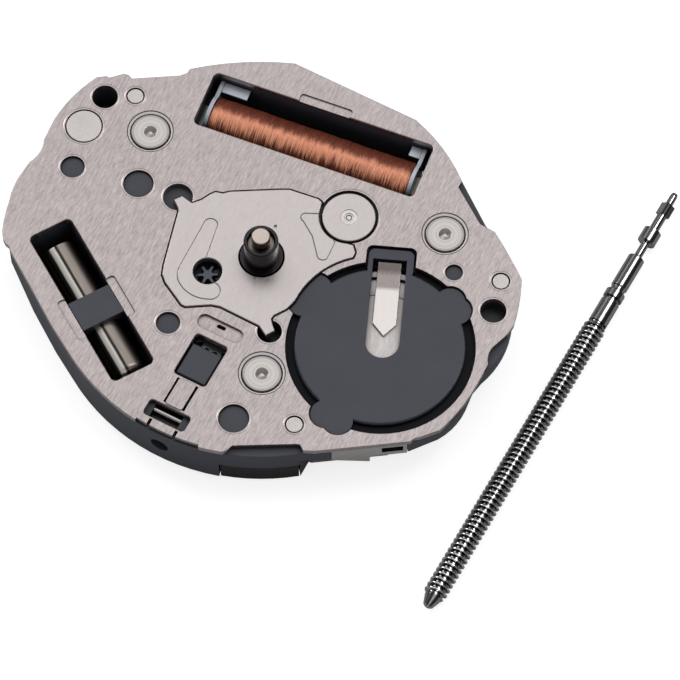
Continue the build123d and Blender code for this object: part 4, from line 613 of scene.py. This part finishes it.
def bench():
    """The pale bench, large enough to reach out of every view."""
    z = BENCH_LEVEL * MM
    half = BENCH_HALF * MM
    mesh = bpy.data.meshes.new("bench")
    corners = [(-half, -half, z), (half, -half, z), (half, half, z), (-half, half, z)]
    mesh.from_pydata(corners, [], [(0, 1, 2, 3)])
    piece = bpy.data.objects.new("bench", mesh)
    bpy.context.scene.collection.objects.link(piece)
    f = Finish("bench_paper")
    seen = f.add("ShaderNodeLightPath").outputs["Is Camera Ray"]
    paper = f.noise(f.stretched(0.4, 0.4), detail=3.0)
    f.done(
        Base_Color=f.mixed(paper, (BENCH_TONE - BENCH_MOTTLE,) * 3, (BENCH_TONE + BENCH_MOTTLE,) * 3),
        Roughness=0.9,
        Emission_Color=f.mixed(seen, (0.0, 0.0, 0.0), (BENCH_BOOST,) * 3),
        Emission_Strength=1.0)
    mesh.materials.append(f.material)


def softbox(name, towards, size, power):
    """A soft rectangular light that looks at the movement from a direction."""
    lamp = bpy.data.lights.new(name, "AREA")
    lamp.shape, lamp.size, lamp.size_y = "RECTANGLE", size[0] * MM, size[1] * MM
    lamp.energy = power
    piece = bpy.data.objects.new(name, lamp)
    direction = Vector(towards).normalized()
    piece.location = direction * LIGHT_DISTANCE * MM
    piece.rotation_euler = direction.to_track_quat("Z", "Y").to_euler()
    bpy.context.scene.collection.objects.link(piece)


def ambient():
    """A plain soft room: white for the camera, and for metal brighter overhead than at the horizon."""
    world = bpy.data.worlds.new("room")
    bpy.context.scene.world = world
    world.use_nodes = True
    tree = world.node_tree
    back = tree.nodes["Background"]
    rays = tree.nodes.new("ShaderNodeLightPath")
    where = tree.nodes.new("ShaderNodeTexCoord")
    split = tree.nodes.new("ShaderNodeSeparateXYZ")
    height = tree.nodes.new("ShaderNodeMapRange")
    for socket, value in (("From Max", AMBIENT_TOP), ("To Min", AMBIENT_LOW), ("To Max", AMBIENT_HIGH)):
        height.inputs[socket].default_value = value
    glossy = tree.nodes.new("ShaderNodeMix")
    camera_sees = tree.nodes.new("ShaderNodeMix")
    glossy.inputs[2].default_value = AMBIENT_DIFFUSE
    camera_sees.inputs[3].default_value = 1.0
    links = tree.links
    links.new(where.outputs["Generated"], split.inputs[0])
    links.new(split.outputs[2], height.inputs["Value"])
    links.new(rays.outputs["Is Glossy Ray"], glossy.inputs[0])
    links.new(height.outputs["Result"], glossy.inputs[3])
    links.new(rays.outputs["Is Camera Ray"], camera_sees.inputs[0])
    links.new(glossy.outputs[0], camera_sees.inputs[2])
    links.new(camera_sees.outputs[0], back.inputs["Strength"])
    back.inputs["Color"].default_value = (*AMBIENT_TONE, 1.0)


def camera():
    """The camera at the photograph's place."""
    data = bpy.data.cameras.new("camera")
    data.lens, data.sensor_width = LENS, SENSOR
    data.clip_start, data.clip_end = VIEW_NEAR * MM, VIEW_FAR * MM
    piece = bpy.data.objects.new("camera", data)
    back = Vector(VIEW_BACK).normalized()
    piece.location = (Vector(VIEW_POINT) + back * VIEW_DISTANCE) * MM
    piece.rotation_euler = back.to_track_quat("Z", "Y").to_euler()
    bpy.context.scene.collection.objects.link(piece)
    bpy.context.scene.camera = piece


# Finish of every node

plate_steel = pressed_plate("plate_steel", (0.500, 0.445, 0.436), angle=184.0)
cover_steel = brushed_metal("cover_steel", (0.60, 0.55, 0.535), angle=184.0, fine=12.0, run=3.0,
                            relief=0.15, rough=0.34, spread=0.07)
bright_steel = smooth_metal("bright_steel", (0.70, 0.67, 0.65), rough=0.22)
pin_steel = smooth_metal("pin_steel", (0.60, 0.565, 0.55), rough=0.28)
pillar_steel = turned_pillar("pillar_steel", (0.60, 0.56, 0.54))
dark_plastic = moulded("dark_plastic", (0.046, 0.048, 0.065))
spacer_plastic = moulded("spacer_plastic", (0.008, 0.008, 0.009), rough=0.55)
slate_plastic = moulded("slate_plastic", (0.10, 0.11, 0.15), rough=0.35)
bobbin_plastic = moulded("bobbin_plastic", (0.58, 0.62, 0.68), rough=0.16, lift=0.40)
board_resin = moulded("board_resin", (0.16, 0.08, 0.03), rough=0.45)
chip_resin = moulded("chip_resin", (0.02, 0.02, 0.02), rough=0.55)
gasket_plastic = moulded("gasket_plastic", (0.03, 0.03, 0.035), rough=0.5)
base_glass = moulded("base_glass", (0.03, 0.035, 0.05), rough=0.15)
pipe_black = smooth_metal("pipe_black", (0.045, 0.043, 0.042), rough=0.24)
post_steel = smooth_metal("post_steel", (0.60, 0.51, 0.45), rough=0.30)
wheel_brass = brushed_metal("wheel_brass", (0.72, 0.53, 0.24), angle=30.0, bevel=FINE_EDGE)
bush_brass = smooth_metal("bush_brass", (0.70, 0.52, 0.26), rough=0.22)
core_iron = brushed_metal("core_iron", (0.42, 0.41, 0.41), angle=97.0)
magnet_grey = smooth_metal("magnet_grey", (0.20, 0.20, 0.21), rough=0.4)
# the can's reflections are painted into its base colour
can_chrome = drawn_can("can_chrome")
wire_tin = smooth_metal("wire_tin", (0.70, 0.69, 0.68), rough=0.25, bevel=FINE_EDGE)
contact_steel = brushed_metal("contact_steel", (0.80, 0.74, 0.71), angle=25.0, relief=0.10, rough=0.26,
                              spread=0.04)
leaf_steel = sprung_leaf("leaf_steel", (0.80, 0.74, 0.71))
cell_steel = brushed_metal("cell_steel", (0.55, 0.51, 0.50), angle=25.0, fine=9.0, relief=0.3, rough=0.3,
                           spread=0.2)

FINISHES = {
    "dial_plate": plate_steel, "motion_cover": cover_steel, "main_plate": dark_plastic,
    "back_cover": plate_steel, "cover_screws": bright_steel, "screw_pillars": pillar_steel,
    "guide_pins": pin_steel, "flush_disc": pin_steel, "side_clip": bright_steel,
    "lower_spacer": spacer_plastic, "cross_bar": bright_steel, "train_bridge": dark_plastic,
    "bridge_bushes": bush_brass, "centre_tube": bush_brass, "rotor_cap": cover_steel,
    "rotor_bush": bright_steel, "coil_bobbin": bobbin_plastic, "coil_core": core_iron, "stator": core_iron,
    "crystal_can": can_chrome, "crystal_base": base_glass, "crystal_leads": wire_tin,
    "circuit_board": board_resin, "circuit_chip": chip_resin, "contact_leaf": leaf_steel,
    "positive_contact": contact_steel, "cell_cap": cell_steel, "cell_gasket": gasket_plastic,
    "cell_can": cell_steel, "hour_wheel": pipe_black, "minute_arbor": post_steel,
    "centre_wheel": wheel_brass, "minute_wheel": slate_plastic, "third_wheel": wheel_brass,
    "third_arbor": bright_steel, "intermediate_wheel": wheel_brass, "intermediate_arbor": bright_steel,
    "rotor_magnet": magnet_grey, "rotor_arbor": bright_steel, "setting_wheel": core_iron,
    "setting_lever": core_iron, "yoke": core_iron, "clutch_wheel": core_iron,
}
for node_name, finish in FINISHES.items():
    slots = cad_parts[node_name].data.materials
    slots.clear()
    slots.append(finish)

winding().data.materials.append(wound_copper("copper_wire"))
stem().data.materials.append(cut_steel("stem_steel", (0.34, 0.33, 0.33)))

bench()
for name, towards, size, power in LIGHTS:
    softbox(name, towards, size, power)
ambient()
camera()
scene = bpy.context.scene
scene.view_settings.view_transform = "Standard"
